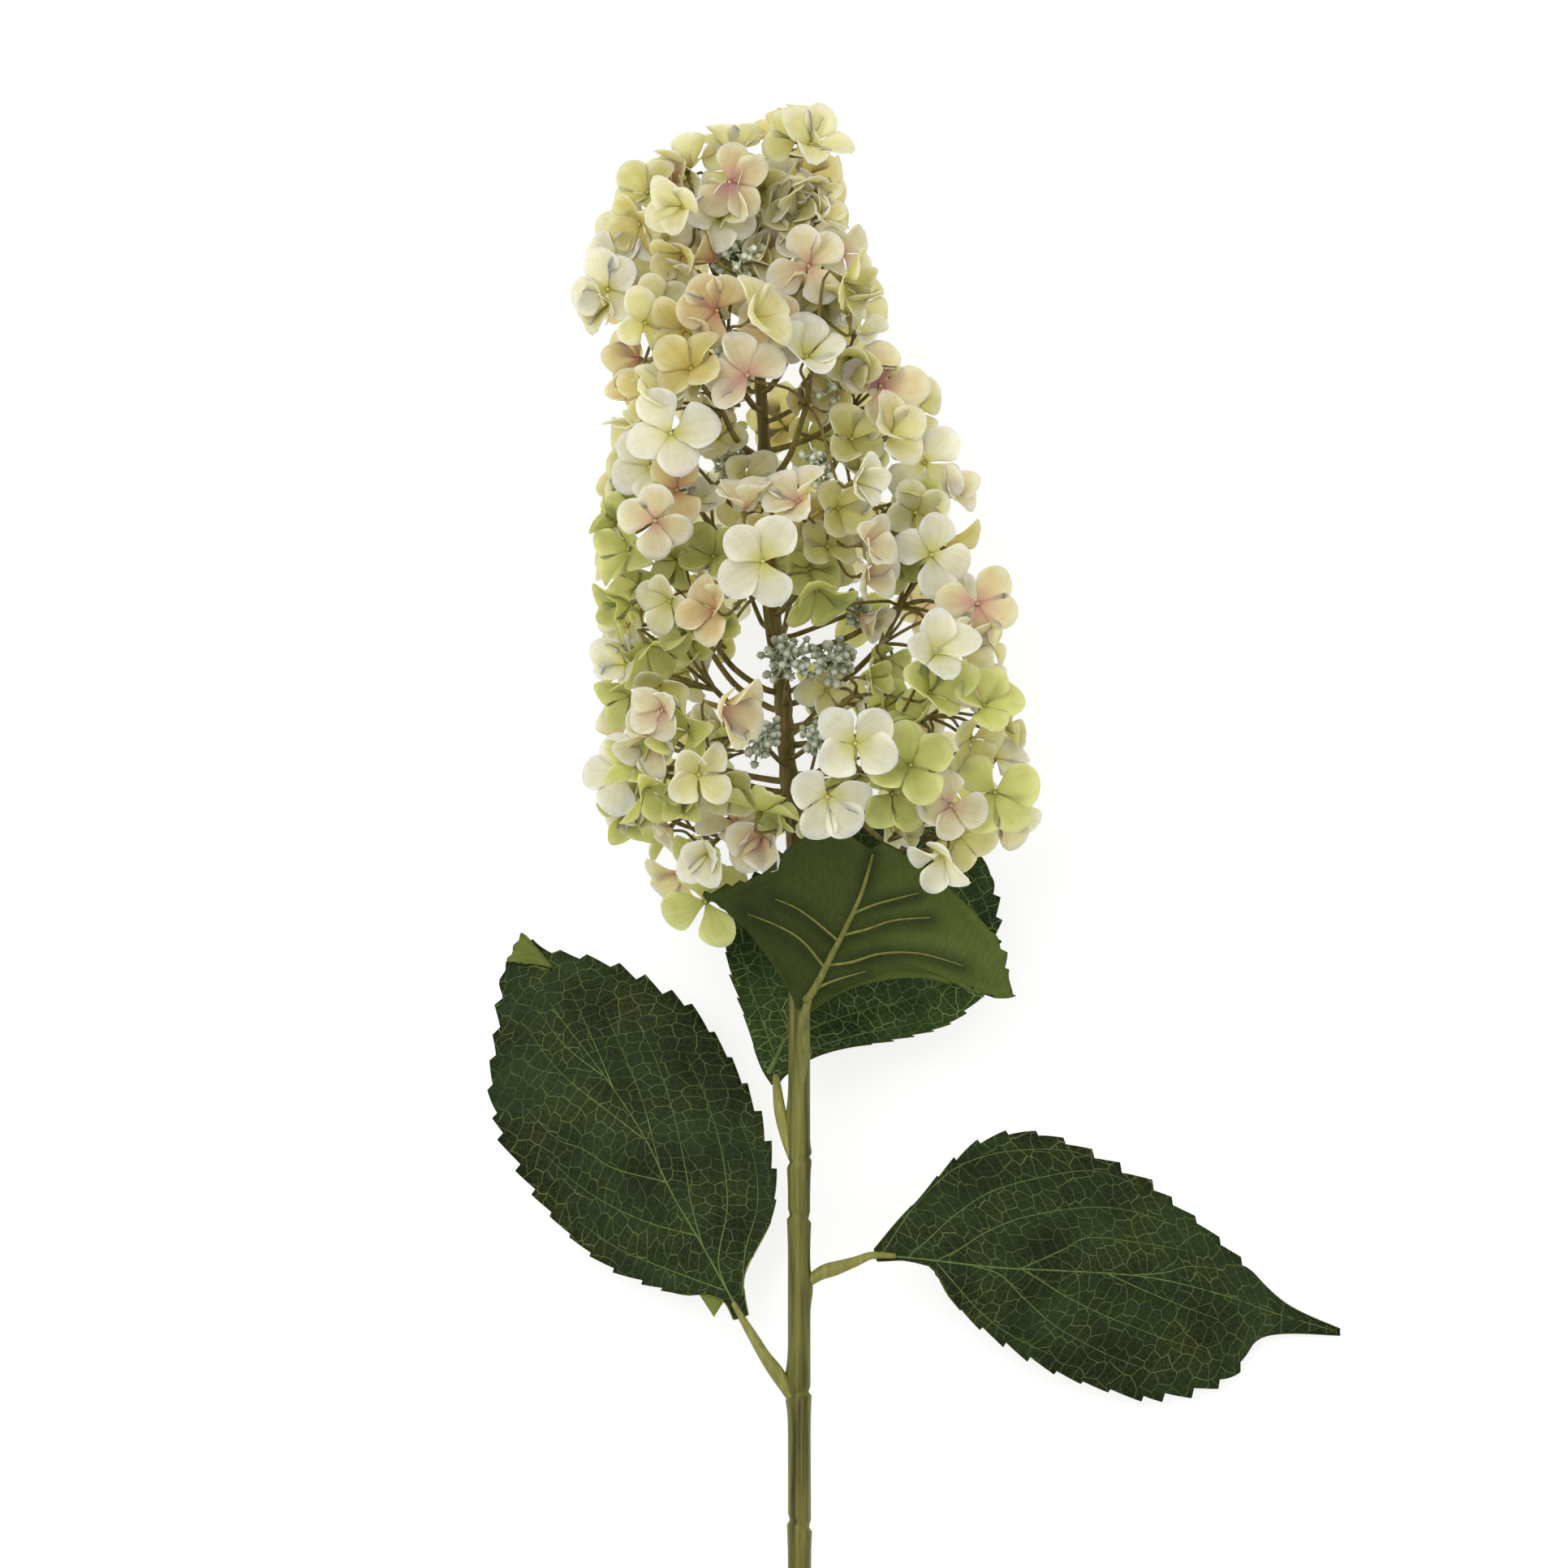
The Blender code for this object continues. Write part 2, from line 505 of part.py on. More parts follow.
def underside_florets():
    chance = random.Random(7)
    sideways, along, turned = UNDER_SWAY
    florets = []
    for row, y in enumerate(UNDER_ROWS):
        middle, width, _, back = station(HEAD_SHAPE, y)
        arc = (UNDER_TO - UNDER_FROM) * (width + back) / 2
        count = max(2, round(arc / UNDER_SPACING))
        for k in range(count):
            share = (k + 0.5 + 0.25 * (-1) ** row) / count
            angle = UNDER_FROM + share * (UNDER_TO - UNDER_FROM)
            x = middle + UNDER_INSET * width * math.sin(angle) + chance.uniform(-sideways, sideways)
            z = -UNDER_INSET * back * abs(math.cos(angle))**UNDER_FLATNESS
            height = y + chance.uniform(-along, along)
            axis_x = axis_at(y)[0].x
            behind_axis = OPEN_ROWS[0] < y < OPEN_ROWS[1] and abs(x - axis_x) < OPEN_HALF_WIDTH
            behind_leaf = y < BELOW_LEAF[0] and x > BELOW_LEAF[1]
            if behind_axis or behind_leaf:
                continue
            tilt = Vector([chance.uniform(-turned, turned) for _ in range(3)])
            facing = head_normal(x, y, z) + tilt
            roll = math.radians(chance.uniform(0, 90))
            floret = Floret(Vector((x, height, z)), facing, roll, chance.uniform(*UNDER_SIZES))
            florets.append((UNDER_SINK, floret))
    return florets


def place_florets(obstacles):
    """Place them from the inside out, each pushed outwards until it clears the rest."""
    waiting = [upper_floret(row) for row in UPPER_FLORETS] + underside_florets()
    waiting.sort(key=lambda pair: -pair[0])
    placed = []
    for _, floret in waiting:
        floret.stand_clear_of_surface()
        for _ in range(PUSH_LIMIT):
            tree = floret.tree()
            near = [other for other in placed if (other[0].centre - floret.centre).length < FLORETS_REACH]
            if not any(tree.overlap(t) for _, t in near) and not any(tree.overlap(t) for t in obstacles):
                break
            floret.centre = floret.centre + floret.way_out * PUSH_STEP
            floret.stand_clear_of_surface()
        placed.append((floret, floret.tree()))
    return placed


# ---------------------------------------------------------------- stalks

def sampled(line, step=1.0):
    points = []
    for a, b in zip(line, line[1:]):
        count = max(1, int((b - a).length / step))
        points += [a.lerp(b, k / count) for k in range(count)]
    return points + [line[-1]]


def branch_line(fork, foot_y):
    """Straight out of the axis for a moment, then up and out to the fork."""
    axis, radius = axis_at(foot_y)
    outward = Vector((fork.x - axis.x, 0.0, fork.z)).normalized()
    start = axis + outward * (radius + SEAT_GAP)
    knee = axis + outward * (radius + BRANCH_KNEE)
    dip = Vector((0.0, -BRANCH_RISE * (fork.y - foot_y), 0.0))
    bend = knee.lerp(fork, BRANCH_BEND) + dip + outward * BRANCH_BOW
    return [start, knee, bend, fork]


def is_clear(line, solids, stalks):
    for point in sampled(line):
        for tree in solids:
            if tree.find_nearest(point, PEDICEL_RADIUS + CLEARANCE)[0] is not None:
                return False
        for tree in stalks:
            if tree.find_range(point, PEDICEL_RADIUS + BRANCH_RADIUS + CLEARANCE):
                return False
    return True


def pedicel_line(fork, floret, own_tree, solids, stalks):
    """From the fork to the back of the floret, bent aside where something is in the way."""
    end = floret.centre + floret.facing * (0.45 * HUB_THICKNESS)
    for straight in STALK_STRAIGHT:
        behind = floret.centre - floret.facing * straight
        if is_clear([behind, end], solids, stalks):
            break
    else:
        return None
    along = (behind - fork).normalized()
    if along.dot(floret.facing) > STRAIGHT_ENOUGH and is_clear([fork, end], solids, stalks):
        return [fork, end]
    aside = along.orthogonal().normalized()
    across = along.cross(aside)
    middle = fork.lerp(behind, 0.5)
    for bend in STALK_BENDS:
        for k in range(8 if bend else 1):
            angle = math.radians(45.0 * k)
            offset = (aside * math.cos(angle) + across * math.sin(angle)) * bend
            line = [fork, middle + offset, behind] if bend else [fork, behind]
            if is_clear(line, solids + [own_tree], stalks):
                return line + [end]
    return None


def with_radius(line, first, last):
    count = len(line) - 1
    return [(p.x, p.y, p.z, first + (last - first) * k / count) for k, p in enumerate(line)]


def kd_tree(points):
    tree = KDTree(len(points))
    for index, point in enumerate(points):
        tree.insert(point, index)
    tree.balance()
    return tree


def florets_mesh(name, florets):
    bm = bmesh.new()
    for floret in florets:
        one = floret.bmesh()
        bmesh.ops.recalc_face_normals(one, faces=one.faces)
        mesh = bpy.data.meshes.new("floret")
        one.to_mesh(mesh)
        one.free()
        bm.from_mesh(mesh)
        bpy.data.meshes.remove(mesh)
    return mesh_from(bm, name)


def bud_dome(x, y, z, radius, foot_y):
    """A closed dome of buds that faces up and out, and the line of its stalk."""
    middle = Vector((x, y, z))
    axis, axis_radius = axis_at(foot_y)
    outward = Vector((x - axis.x, 0.0, z)).normalized()
    facing = (outward + Vector((0.0, 0.7, 0.0))).normalized()
    bm = bmesh.new()
    bmesh.ops.create_icosphere(bm, subdivisions=2, radius=radius)
    bmesh.ops.scale(bm, vec=(1.0, 1.0, BUD_DOME_HEIGHT), verts=bm.verts)
    turn = facing.to_track_quat("Z", "Y").to_matrix().to_4x4()
    bmesh.ops.transform(bm, matrix=Matrix.Translation(middle) @ turn, verts=bm.verts)
    start = axis + outward * (axis_radius + SEAT_GAP)
    knee = axis + outward * (axis_radius + BRANCH_KNEE)
    line = [start, knee, middle - facing * (radius * BUD_DOME_HEIGHT + BRANCH_KNEE), middle]
    return bm, line


def grow_sprays(placed, solids, bud_stalks):
    """The stalk lines and florets of each spray: a floret hangs on the nearest fork it can reach."""
    forks = [Vector(fork[:3]) for fork in FORKS]
    branches = [branch_line(fork, row[3]) for fork, row in zip(forks, FORKS)]
    lines = [[with_radius(line, BRANCH_RADIUS, 0.8 * BRANCH_RADIUS)] for line in branches]
    florets = [[] for _ in forks]
    points = [sampled(line) for line in branches]
    stalks = [kd_tree(run) for run in points]
    for floret, own_tree in placed:
        by_distance = sorted(range(len(forks)), key=lambda k: (forks[k] - floret.centre).length)
        tries = [(k, False) for k in by_distance[:FORKS_TRIED]]
        tries += [(k, True) for k in by_distance[:FORKS_TRIED]]
        for index, through_own in tries:
            middle = (forks[index] + floret.centre) / 2
            reach = (forks[index] - floret.centre).length / 2 + NEAR_FLORET
            skipped = [floret] + (florets[index] if through_own else [])
            near = [tree for other, tree in placed
                    if other not in skipped and (other.centre - middle).length < reach]
            others = bud_stalks + [tree for k, tree in enumerate(stalks) if k != index]
            line = pedicel_line(forks[index], floret, own_tree, solids + near, others)
            if line:
                points[index] += sampled(line)
                stalks[index] = kd_tree(points[index])
                lines[index].append(with_radius(line, PEDICEL_RADIUS, PEDICEL_RADIUS))
                florets[index].append(floret)
                break
        else:
            print("no clear way for the stalk of the floret at", floret.centre)
    return zip(lines, florets)


def build_head(obstacles):
    domes = [bud_dome(*row) for row in BUD_CLUSTERS]
    solids = obstacles + [BVHTree.FromBMesh(bm, epsilon=CLEARANCE) for bm, _ in domes]
    bud_stalks = [kd_tree(sampled(line)) for _, line in domes]
    sprays = grow_sprays(place_florets(solids), solids, bud_stalks)
    for number, (lines, florets) in enumerate(sprays, start=1):
        name = "spray_%02d" % number
        joined(name, tube_mesh(name, lines, 4), florets_mesh(name + "_florets", florets), petal_material)
    for number, (bm, line) in enumerate(domes, start=1):
        name = "bud_cluster_%02d" % number
        stalk = tube_mesh(name, [with_radius(line, BUD_STALK_RADIUS, BUD_STALK_RADIUS)], 4)
        joined(name, stalk, mesh_from(bm, name + "_dome"), bud_material)


def tree_of(thing):
    evaluated = thing.evaluated_get(bpy.context.evaluated_depsgraph_get())
    bm = bmesh.new()
    bm.from_mesh(evaluated.to_mesh())
    bmesh.ops.transform(bm, matrix=thing.matrix_local, verts=bm.verts)
    bmesh.ops.scale(bm, vec=(1 / MM, 1 / MM, 1 / MM), verts=bm.verts)
    tree = BVHTree.FromBMesh(bm, epsilon=CLEARANCE)
    bm.free()
    return tree


def centre_on_origin():
    """Move the whole flower so that the middle of its underside is the origin."""
    bpy.context.view_layer.update()
    depsgraph = bpy.context.evaluated_depsgraph_get()
    corners = []
    for thing in collection.objects:
        if thing.type == "MESH":
            evaluated = thing.evaluated_get(depsgraph)
            corners += [evaluated.matrix_world @ v.co for v in evaluated.data.vertices]
    low = Vector([min(c[k] for c in corners) for k in range(3)])
    high = Vector([max(c[k] for c in corners) for k in range(3)])
    lying.location -= Vector(((low.x + high.x) / 2, (low.y + high.y) / 2, low.z))
    bpy.context.view_layer.update()
    print("size in mm:", [round((h - l) / MM, 1) for l, h in zip(low, high)])


collection, lying = start_scene()
stem_material = new_material("stem_green", STEM_GREEN, 0.55)
axis_material = new_material("axis_brown", AXIS_BROWN, 0.6)
leaf_material = new_material("leaf_green", LEAF_GREEN, 0.6)
pale_leaf_material = new_material("leaf_underside", LEAF_PALE_GREEN, 0.65)
petal_material = new_material("petal", PETAL_CREAM, 0.7)
bud_material = new_material("bud", BUD_SAGE, 0.6)

build_stem()
build_axis()
for leaf_side in LEAVES:
    build_leaf(leaf_side, LEAVES[leaf_side], LEAF_STALKS[leaf_side])
bpy.context.view_layer.update()
build_head([tree_of(thing) for thing in collection.objects if thing.type == "MESH"])
centre_on_origin()
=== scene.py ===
# %% [markdown]
# # The surface of a cut panicle hydrangea
# The solid model already holds the right size and place of every piece: a stem, four leaves on
# stalks, an axis inside the head, sprays of florets and clusters of buds. This lesson reads the
# places back from those solids and gives each piece its real form: thin cupped petals, toothed
# leaf blades with veins, small beads for the buds, and a moulded stem with joints.

# %% Load the solid model
import math
import random

import bmesh
import bpy
from mathutils import Matrix, Vector
from mathutils.bvhtree import BVHTree
from mathutils.kdtree import KDTree


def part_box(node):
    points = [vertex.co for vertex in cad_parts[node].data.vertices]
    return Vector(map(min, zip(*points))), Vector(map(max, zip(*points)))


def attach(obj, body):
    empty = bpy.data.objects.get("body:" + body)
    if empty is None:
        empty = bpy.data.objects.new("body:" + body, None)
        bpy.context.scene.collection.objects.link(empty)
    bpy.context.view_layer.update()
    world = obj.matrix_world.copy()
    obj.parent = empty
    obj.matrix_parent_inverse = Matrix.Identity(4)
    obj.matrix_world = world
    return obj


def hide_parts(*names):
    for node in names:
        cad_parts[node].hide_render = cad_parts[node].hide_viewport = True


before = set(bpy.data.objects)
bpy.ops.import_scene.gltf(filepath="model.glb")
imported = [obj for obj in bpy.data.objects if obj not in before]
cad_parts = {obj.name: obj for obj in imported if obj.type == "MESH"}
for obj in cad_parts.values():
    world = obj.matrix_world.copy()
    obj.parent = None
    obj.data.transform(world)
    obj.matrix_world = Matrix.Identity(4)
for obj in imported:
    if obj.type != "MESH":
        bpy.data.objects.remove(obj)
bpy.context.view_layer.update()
scene = bpy.context.scene
print("solid nodes:", len(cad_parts))

# %% [markdown]
# ## The plant's own frame
# The flower lies on a surface, with its head end raised a little. A plant is easier to describe
# along its stem, so every shape below is in millimetres in the plant's frame: +Y runs up the stem
# from its cut end, +X to the right, +Z to the side that faces up. One matrix takes that frame to
# metres in the room. It could be typed in, but reading it from the stem's solid keeps the two
# models together if the solid moves.

# %% From the plant's frame to the room
MM = 0.001
LYING_TILT = math.radians(9.0)
STEM_RADIUS = 4.0

stem_low, stem_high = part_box("stem")
cut_end = Vector((
    (stem_low.x + stem_high.x) / 2,
    stem_low.y + STEM_RADIUS * MM * math.sin(LYING_TILT),
    stem_low.z + STEM_RADIUS * MM * math.cos(LYING_TILT),
))
PLANT = Matrix.Translation(cut_end) @ Matrix.Rotation(LYING_TILT, 4, "X") @ Matrix.Scale(MM, 4)
TO_PLANT = PLANT.inverted()
print("cut end of the stem in the room:", [round(c, 4) for c in cut_end])

# %% [markdown]
# ## The camera
# The camera looks straight down on the flower, square to its stem. From close by, the head, which
# stands up towards the lens, would look too large. A long lens from three metres keeps the outline
# almost free of perspective.

# %% Camera
CAMERA_DISTANCE = 3000.0
VIEW_WIDTH = 521.6
VIEW_CENTRE = (-5.1, 380.8)
SENSOR_WIDTH = 36.0

camera_data = bpy.data.cameras.new("camera")
camera_data.sensor_width = SENSOR_WIDTH
camera_data.lens = SENSOR_WIDTH * CAMERA_DISTANCE / VIEW_WIDTH
camera = bpy.data.objects.new("camera", camera_data)
camera.location = PLANT @ Vector((*VIEW_CENTRE, CAMERA_DISTANCE))
camera.rotation_euler = (LYING_TILT, 0.0, 0.0)
scene.collection.objects.link(camera)
scene.camera = camera
print("lens: %.0f mm" % camera_data.lens)

# %% [markdown]
# ## Colours and nodes
# Colours are written as the hex codes that any paint program shows, and one function turns them
# into the linear values that shaders work with. A second function adds a node with its settings
# and its links, so that each material below reads as a list of steps.

# %% Helpers for materials
def colour(code):
    """A hex colour as linear red, green, blue and alpha."""
    linear = []
    for start in (1, 3, 5):
        channel = int(code[start:start + 2], 16) / 255
        linear.append(channel / 12.92 if channel <= 0.04045 else ((channel + 0.055) / 1.055) ** 2.4)
    return (*linear, 1.0)


def add_node(material, kind, inputs=None, **settings):
    """A new node with its options set, and its sockets set to a value or linked to an output."""
    node = material.node_tree.nodes.new("ShaderNode" + kind)
    for option, value in settings.items():
        setattr(node, option, value)
    for socket, value in (inputs or {}).items():
        if isinstance(value, bpy.types.NodeSocket):
            material.node_tree.links.new(value, node.inputs[socket])
        else:
            node.inputs[socket].default_value = value
    return node


def new_material(name, **values):
    """A material with a Principled shader whose plain values are set on its own sockets."""
    material = bpy.data.materials.new(name)
    material.use_nodes = True
    shader = material.node_tree.nodes["Principled BSDF"]
    for socket, value in values.items():
        shader.inputs[socket.replace("_", " ")].default_value = value
    return material, shader


def connect(material, output, socket):
    material.node_tree.links.new(output, socket)


print("white in linear light:", colour("#ffffff"))

# %% [markdown]
# ## Petal cloth
# The petals are thin polyester cloth, stamped out, dyed in several tones and pressed over a warm
# mould. Cloth this thin is matt, and lets a little light through. The dye runs from the heart of
# the floret to the rim of each petal, so it belongs to the petal's own shape: it is worked out
# for each point of a petal and kept in an attribute named dye. The shader reads it, makes it a
# little uneven, and adds the fine ribs that the mould presses in.

# %% Petal cloth
CLOTH_MOTTLE = 4.0 * MM
CLOTH_GRAIN = 0.6 * MM
CLOTH_RELIEF = 0.2 * MM
SEE_THROUGH = 3.0 * MM
PETAL_RIBS = (5.0, 1.1, 1.0)  # noise steps across a petal and along it, so that they read as ribs

petal_cloth, shader = new_material(
    "dyed polyester petal cloth", Roughness=0.65, Subsurface_Weight=0.7,
    Subsurface_Radius=(1.0, 0.9, 0.45), Subsurface_Scale=SEE_THROUGH, Specular_IOR_Level=0.25)
dye = add_node(petal_cloth, "Attribute", attribute_name="dye").outputs["Color"]
on_petal = add_node(petal_cloth, "Attribute", attribute_name="petal").outputs["Vector"]
place = add_node(petal_cloth, "TexCoord").outputs["Object"]
fan = add_node(petal_cloth, "Mapping", {"Vector": on_petal, "Scale": PETAL_RIBS}).outputs[0]
streak = add_node(petal_cloth, "TexNoise", {"Vector": fan, "Scale": 1.0, "Detail": 3.0}).outputs["Fac"]
mottle = add_node(petal_cloth, "TexNoise", {"Vector": place, "Scale": 1 / CLOTH_MOTTLE, "Detail": 2.0})
spots = add_node(petal_cloth, "Math", {0: streak, 1: mottle.outputs["Fac"]}, operation="ADD").outputs[0]
lightness = add_node(petal_cloth, "MapRange", {
    "Value": spots, 1: 0.75, 2: 1.25, 3: 0.92, 4: 1.05}).outputs[0]
uneven = add_node(petal_cloth, "HueSaturation", {"Color": dye, "Value": lightness})
connect(petal_cloth, uneven.outputs["Color"], shader.inputs["Base Color"])
grain = add_node(petal_cloth, "TexNoise", {
    "Vector": place, "Scale": 1 / CLOTH_GRAIN, "Detail": 2.0}).outputs["Fac"]
ribbing = add_node(petal_cloth, "Math", {0: streak, 1: 3.0, 2: grain}, operation="MULTIPLY_ADD").outputs[0]
press = add_node(petal_cloth, "Bump", {"Height": ribbing, "Strength": 0.22, "Distance": CLOTH_RELIEF})
connect(petal_cloth, press.outputs["Normal"], shader.inputs["Normal"])
print(petal_cloth.name)

# %% [markdown]
# ## Moulded plastic for the stem, the stalks and the buds
# The stem is soft polyethylene, coloured in the melt and then brushed with paint, so it is matt,
# with long streaks of a darker tone. The brown stalks in the head and the small buds are the same
# plastic. The streaks are a noise that is stretched along the stem. The stem lies at a slope, so
# the noise is turned by the same angle, or the streaks would run off its side.

# %% Moulded plastics
STREAK_WIDTH = 2.2 * MM
STREAK_LENGTH = 45.0 * MM
SKIN_RELIEF = 0.3 * MM


def moulded_plastic(name, dark, light, roughness):
    """Matt plastic of two tones, in streaks that run along the stem."""
    material, shader = new_material(name, Roughness=roughness, Specular_IOR_Level=0.22)
    place = add_node(material, "TexCoord").outputs["Object"]
    along = add_node(material, "Mapping", {
        "Vector": place, "Rotation": (LYING_TILT, 0.0, 0.0),
        "Scale": (1.0, STREAK_LENGTH / STREAK_WIDTH, 1.0)}, vector_type="TEXTURE").outputs[0]
    streak = add_node(material, "TexNoise", {
        "Vector": along, "Scale": 1 / STREAK_WIDTH, "Detail": 4.0, "Roughness": 0.6}).outputs["Fac"]
    amount = add_node(material, "MapRange", {"Value": streak, 1: 0.3, 2: 0.7}).outputs[0]
    tone = add_node(material, "Mix", {0: amount, 6: colour(dark), 7: colour(light)}, data_type="RGBA")
    connect(material, tone.outputs[2], shader.inputs["Base Color"])
    skin = add_node(material, "Bump", {"Height": streak, "Strength": 0.35, "Distance": SKIN_RELIEF})
    connect(material, skin.outputs["Normal"], shader.inputs["Normal"])
    return material


stem_plastic = moulded_plastic("moulded polyethylene, olive green", "#34320f", "#7c7a38", 0.4)
young_plastic = moulded_plastic("moulded polyethylene, yellow green", "#6f6e30", "#93904d", 0.45)
stalk_plastic = moulded_plastic("moulded polyethylene, brown", "#54481d", "#8a7a3c", 0.42)
print(stem_plastic.name, "/", stalk_plastic.name)

# %% Bud plastic
bud_plastic, shader = new_material("moulded polyethylene, sage", Roughness=0.55, Specular_IOR_Level=0.3)
dye = add_node(bud_plastic, "Attribute", attribute_name="dye").outputs["Color"]
connect(bud_plastic, dye, shader.inputs["Base Color"])
print(bud_plastic.name)

# %% [markdown]
# ## Leaf cloth
# The leaves are heavier cloth, printed dark green with a net of pale veins. Each blade has a map of
# its own, which holds the distance across from the middle vein and the distance along it. The net
# is the edges of Voronoi cells on that map. It is mirrored at the middle vein and slanted, so that
# its cells stand like rungs between the side veins, and it wanders a little, as a drawn net does.
# Painting it in the shader keeps its lines crisp at any distance, where lines in the mesh would
# need far more faces. Fainter lines of smaller cells and a fine weave lie inside it.

# %% The printed net
CLOTH_UNIT = 200.0  # the width of the blade's map in millimetres
NET_CELL = (3.8, 6.2, 1.0)
NET_LINE = 0.043  # the reach of a line to each side, as a share of a cell
FINE_CELL = (1.8, 2.4, 1.0)
FINE_LINE = 0.08
FINE_SHARE = 0.25
VEIN_SLANT = math.radians(62)
WANDER_STEP = 0.22  # noise steps in a millimetre
WANDER_REACH = 2.2


def printed_net(material, millimetres, strength):
    """How much vein colour is printed at each place: coarse cells, and fainter fine ones."""
    wander = add_node(material, "TexNoise", {
        "Vector": millimetres, "Scale": WANDER_STEP, "Detail": 1.0}).outputs["Color"]
    shift = add_node(material, "VectorMath", {
        0: wander, "Scale": WANDER_REACH}, operation="SCALE").outputs[0]
    from_rib = add_node(material, "VectorMath", {
        0: millimetres, 1: (CLOTH_UNIT / 2, 0.0, 0.0)}, operation="SUBTRACT").outputs[0]
    mirrored = add_node(material, "VectorMath", {0: from_rib}, operation="ABSOLUTE").outputs[0]
    bent = add_node(material, "VectorMath", {0: mirrored, 1: shift}, operation="ADD").outputs[0]
    nets = []
    for cell, reach, share in ((NET_CELL, NET_LINE, 1.0), (FINE_CELL, FINE_LINE, FINE_SHARE)):
        rungs = add_node(material, "Mapping", {
            "Vector": bent, "Rotation": (0.0, 0.0, VEIN_SLANT), "Scale": cell}, vector_type="TEXTURE")
        cells = add_node(
            material, "TexVoronoi", {"Vector": rungs.outputs[0], "Scale": 1.0, "Randomness": 0.75},
            feature="DISTANCE_TO_EDGE", voronoi_dimensions="2D").outputs["Distance"]
        nets.append(add_node(material, "MapRange", {
            "Value": cells, 1: reach * 0.15, 2: reach, 3: share * strength, 4: 0.0},
            interpolation_type="SMOOTHSTEP").outputs[0])
    return add_node(material, "Math", {0: nets[0], 1: nets[1]}, operation="MAXIMUM").outputs[0]


print("cells of the net: %.1f x %.1f mm" % NET_CELL[:2])

# %% Leaf cloth, upper side
PATCH_SIZE = 24.0
THINNING_STEP = 0.06  # noise steps in a millimetre
LEAF_GRAIN = (0.7, 3.0, 1.0)
LEAF_RELIEF = 0.3 * MM


def leaf_print(name, dark, green, warm, vein, net_strength, pale=None):
    """Blotchy green cloth with a printed net. If a pale tone is given, it adds painted light to the right
    and painted shade beside the ribs.
    """
    material, shader = new_material(name, Roughness=0.62, Specular_IOR_Level=0.1)
    cloth = add_node(material, "UVMap", uv_map="cloth").outputs[0]
    millimetres = add_node(material, "VectorMath", {
        0: cloth, "Scale": CLOTH_UNIT}, operation="SCALE").outputs[0]
    thinning = add_node(material, "TexNoise", {
        "Vector": millimetres, "Scale": THINNING_STEP, "Detail": 2.0}).outputs["Fac"]
    clear = add_node(material, "MapRange", {"Value": thinning, 1: 0.35, 2: 0.6, 3: 0.4, 4: 1.0}).outputs[0]
    net = printed_net(material, millimetres, net_strength)
    net = add_node(material, "Math", {0: net, 1: clear}, operation="MULTIPLY").outputs[0]

    patch = add_node(material, "TexNoise", {
        "Vector": millimetres, "Scale": 1 / PATCH_SIZE, "Detail": 3.0}).outputs["Fac"]
    patches = add_node(material, "MapRange", {"Value": patch, 1: 0.35, 2: 0.65}).outputs[0]
    warmth = add_node(material, "MapRange", {"Value": thinning, 1: 0.52, 2: 0.7, 4: 0.4}).outputs[0]
    layers = [(patches, green), (warmth, warm)]
    # The pale tone is painted light and shade, read from an attribute: paler to the right, darker beside
    # the ribs.
    if pale:
        layers.append((add_node(material, "Attribute", attribute_name="painted_rib_shade_and_light").outputs["Fac"], pale))
    layers.append((net, vein))
    printed = colour(dark)
    for amount, code in layers:
        printed = add_node(material, "Mix", {
            0: amount, 6: printed, 7: colour(code)}, data_type="RGBA").outputs[2]

    threads = add_node(material, "Mapping", {
        "Vector": millimetres, "Scale": LEAF_GRAIN}, vector_type="TEXTURE").outputs[0]
    weave = add_node(material, "TexNoise", {"Vector": threads, "Scale": 1.0, "Detail": 2.0}).outputs["Fac"]
    grain = add_node(material, "MapRange", {"Value": weave, 1: 0.3, 2: 0.7, 3: 0.86, 4: 1.14}).outputs[0]
    woven = add_node(material, "HueSaturation", {"Color": printed, "Value": grain})
    connect(material, woven.outputs["Color"], shader.inputs["Base Color"])
    height = add_node(material, "Math", {0: weave, 1: -0.25, 2: net}, operation="MULTIPLY_ADD").outputs[0]
    relief = add_node(material, "Bump", {
        "Height": height, "Strength": 0.5, "Distance": LEAF_RELIEF}, invert=True)
    connect(material, relief.outputs["Normal"], shader.inputs["Normal"])
    return material


leaf_cloth = leaf_print(
    "printed leaf cloth, upper side", "#192009", "#263418", "#33330f", "#6c7a47", 0.78)
# A lighter copy of the printed cloth, with a brighter net, for the back leaf: painted light against the
# shade of the head.
painted_lighter_cloth = leaf_print(
    "printed leaf cloth, painted lighter against shade", "#1f2e13", "#344722", "#3b4519", "#879b5c", 0.95)
print(leaf_cloth.name, "/", painted_lighter_cloth.name)

# %% [markdown]
# ## Leaf cloth, underside, and the vein threads
# The back of the cloth is plain dyed, paler and more olive than the printed face, with hardly any
# of the net showing through. On the darker underside, painted shade darkens the cloth beside the
# ribs, and painted light makes it paler to the right. The larger veins are soft threads, pale green
# on the face of the leaf and brown on its back.

# %% Leaf cloth, underside
# The darker underside carries painted light to the right and painted shade beside the ribs.
dyed_back_with_painted_light = leaf_print(
    "dyed leaf cloth, underside", "#1d240b", "#2c3613", "#353c15", "#565c2a", 0.08, "#4f5b27")
pale_back = leaf_print(
    "dyed leaf cloth, underside at a tip", "#5f6a2d", "#7a8241", "#6d7434", "#80884a", 0.1)
vein_thread = moulded_plastic("vein thread, pale green", "#4d5c2f", "#687a43", 0.6)
rib_thread = moulded_plastic("vein thread, brown", "#5f6029", "#7f8044", 0.55)
print(dyed_back_with_painted_light.name, "/", pale_back.name)

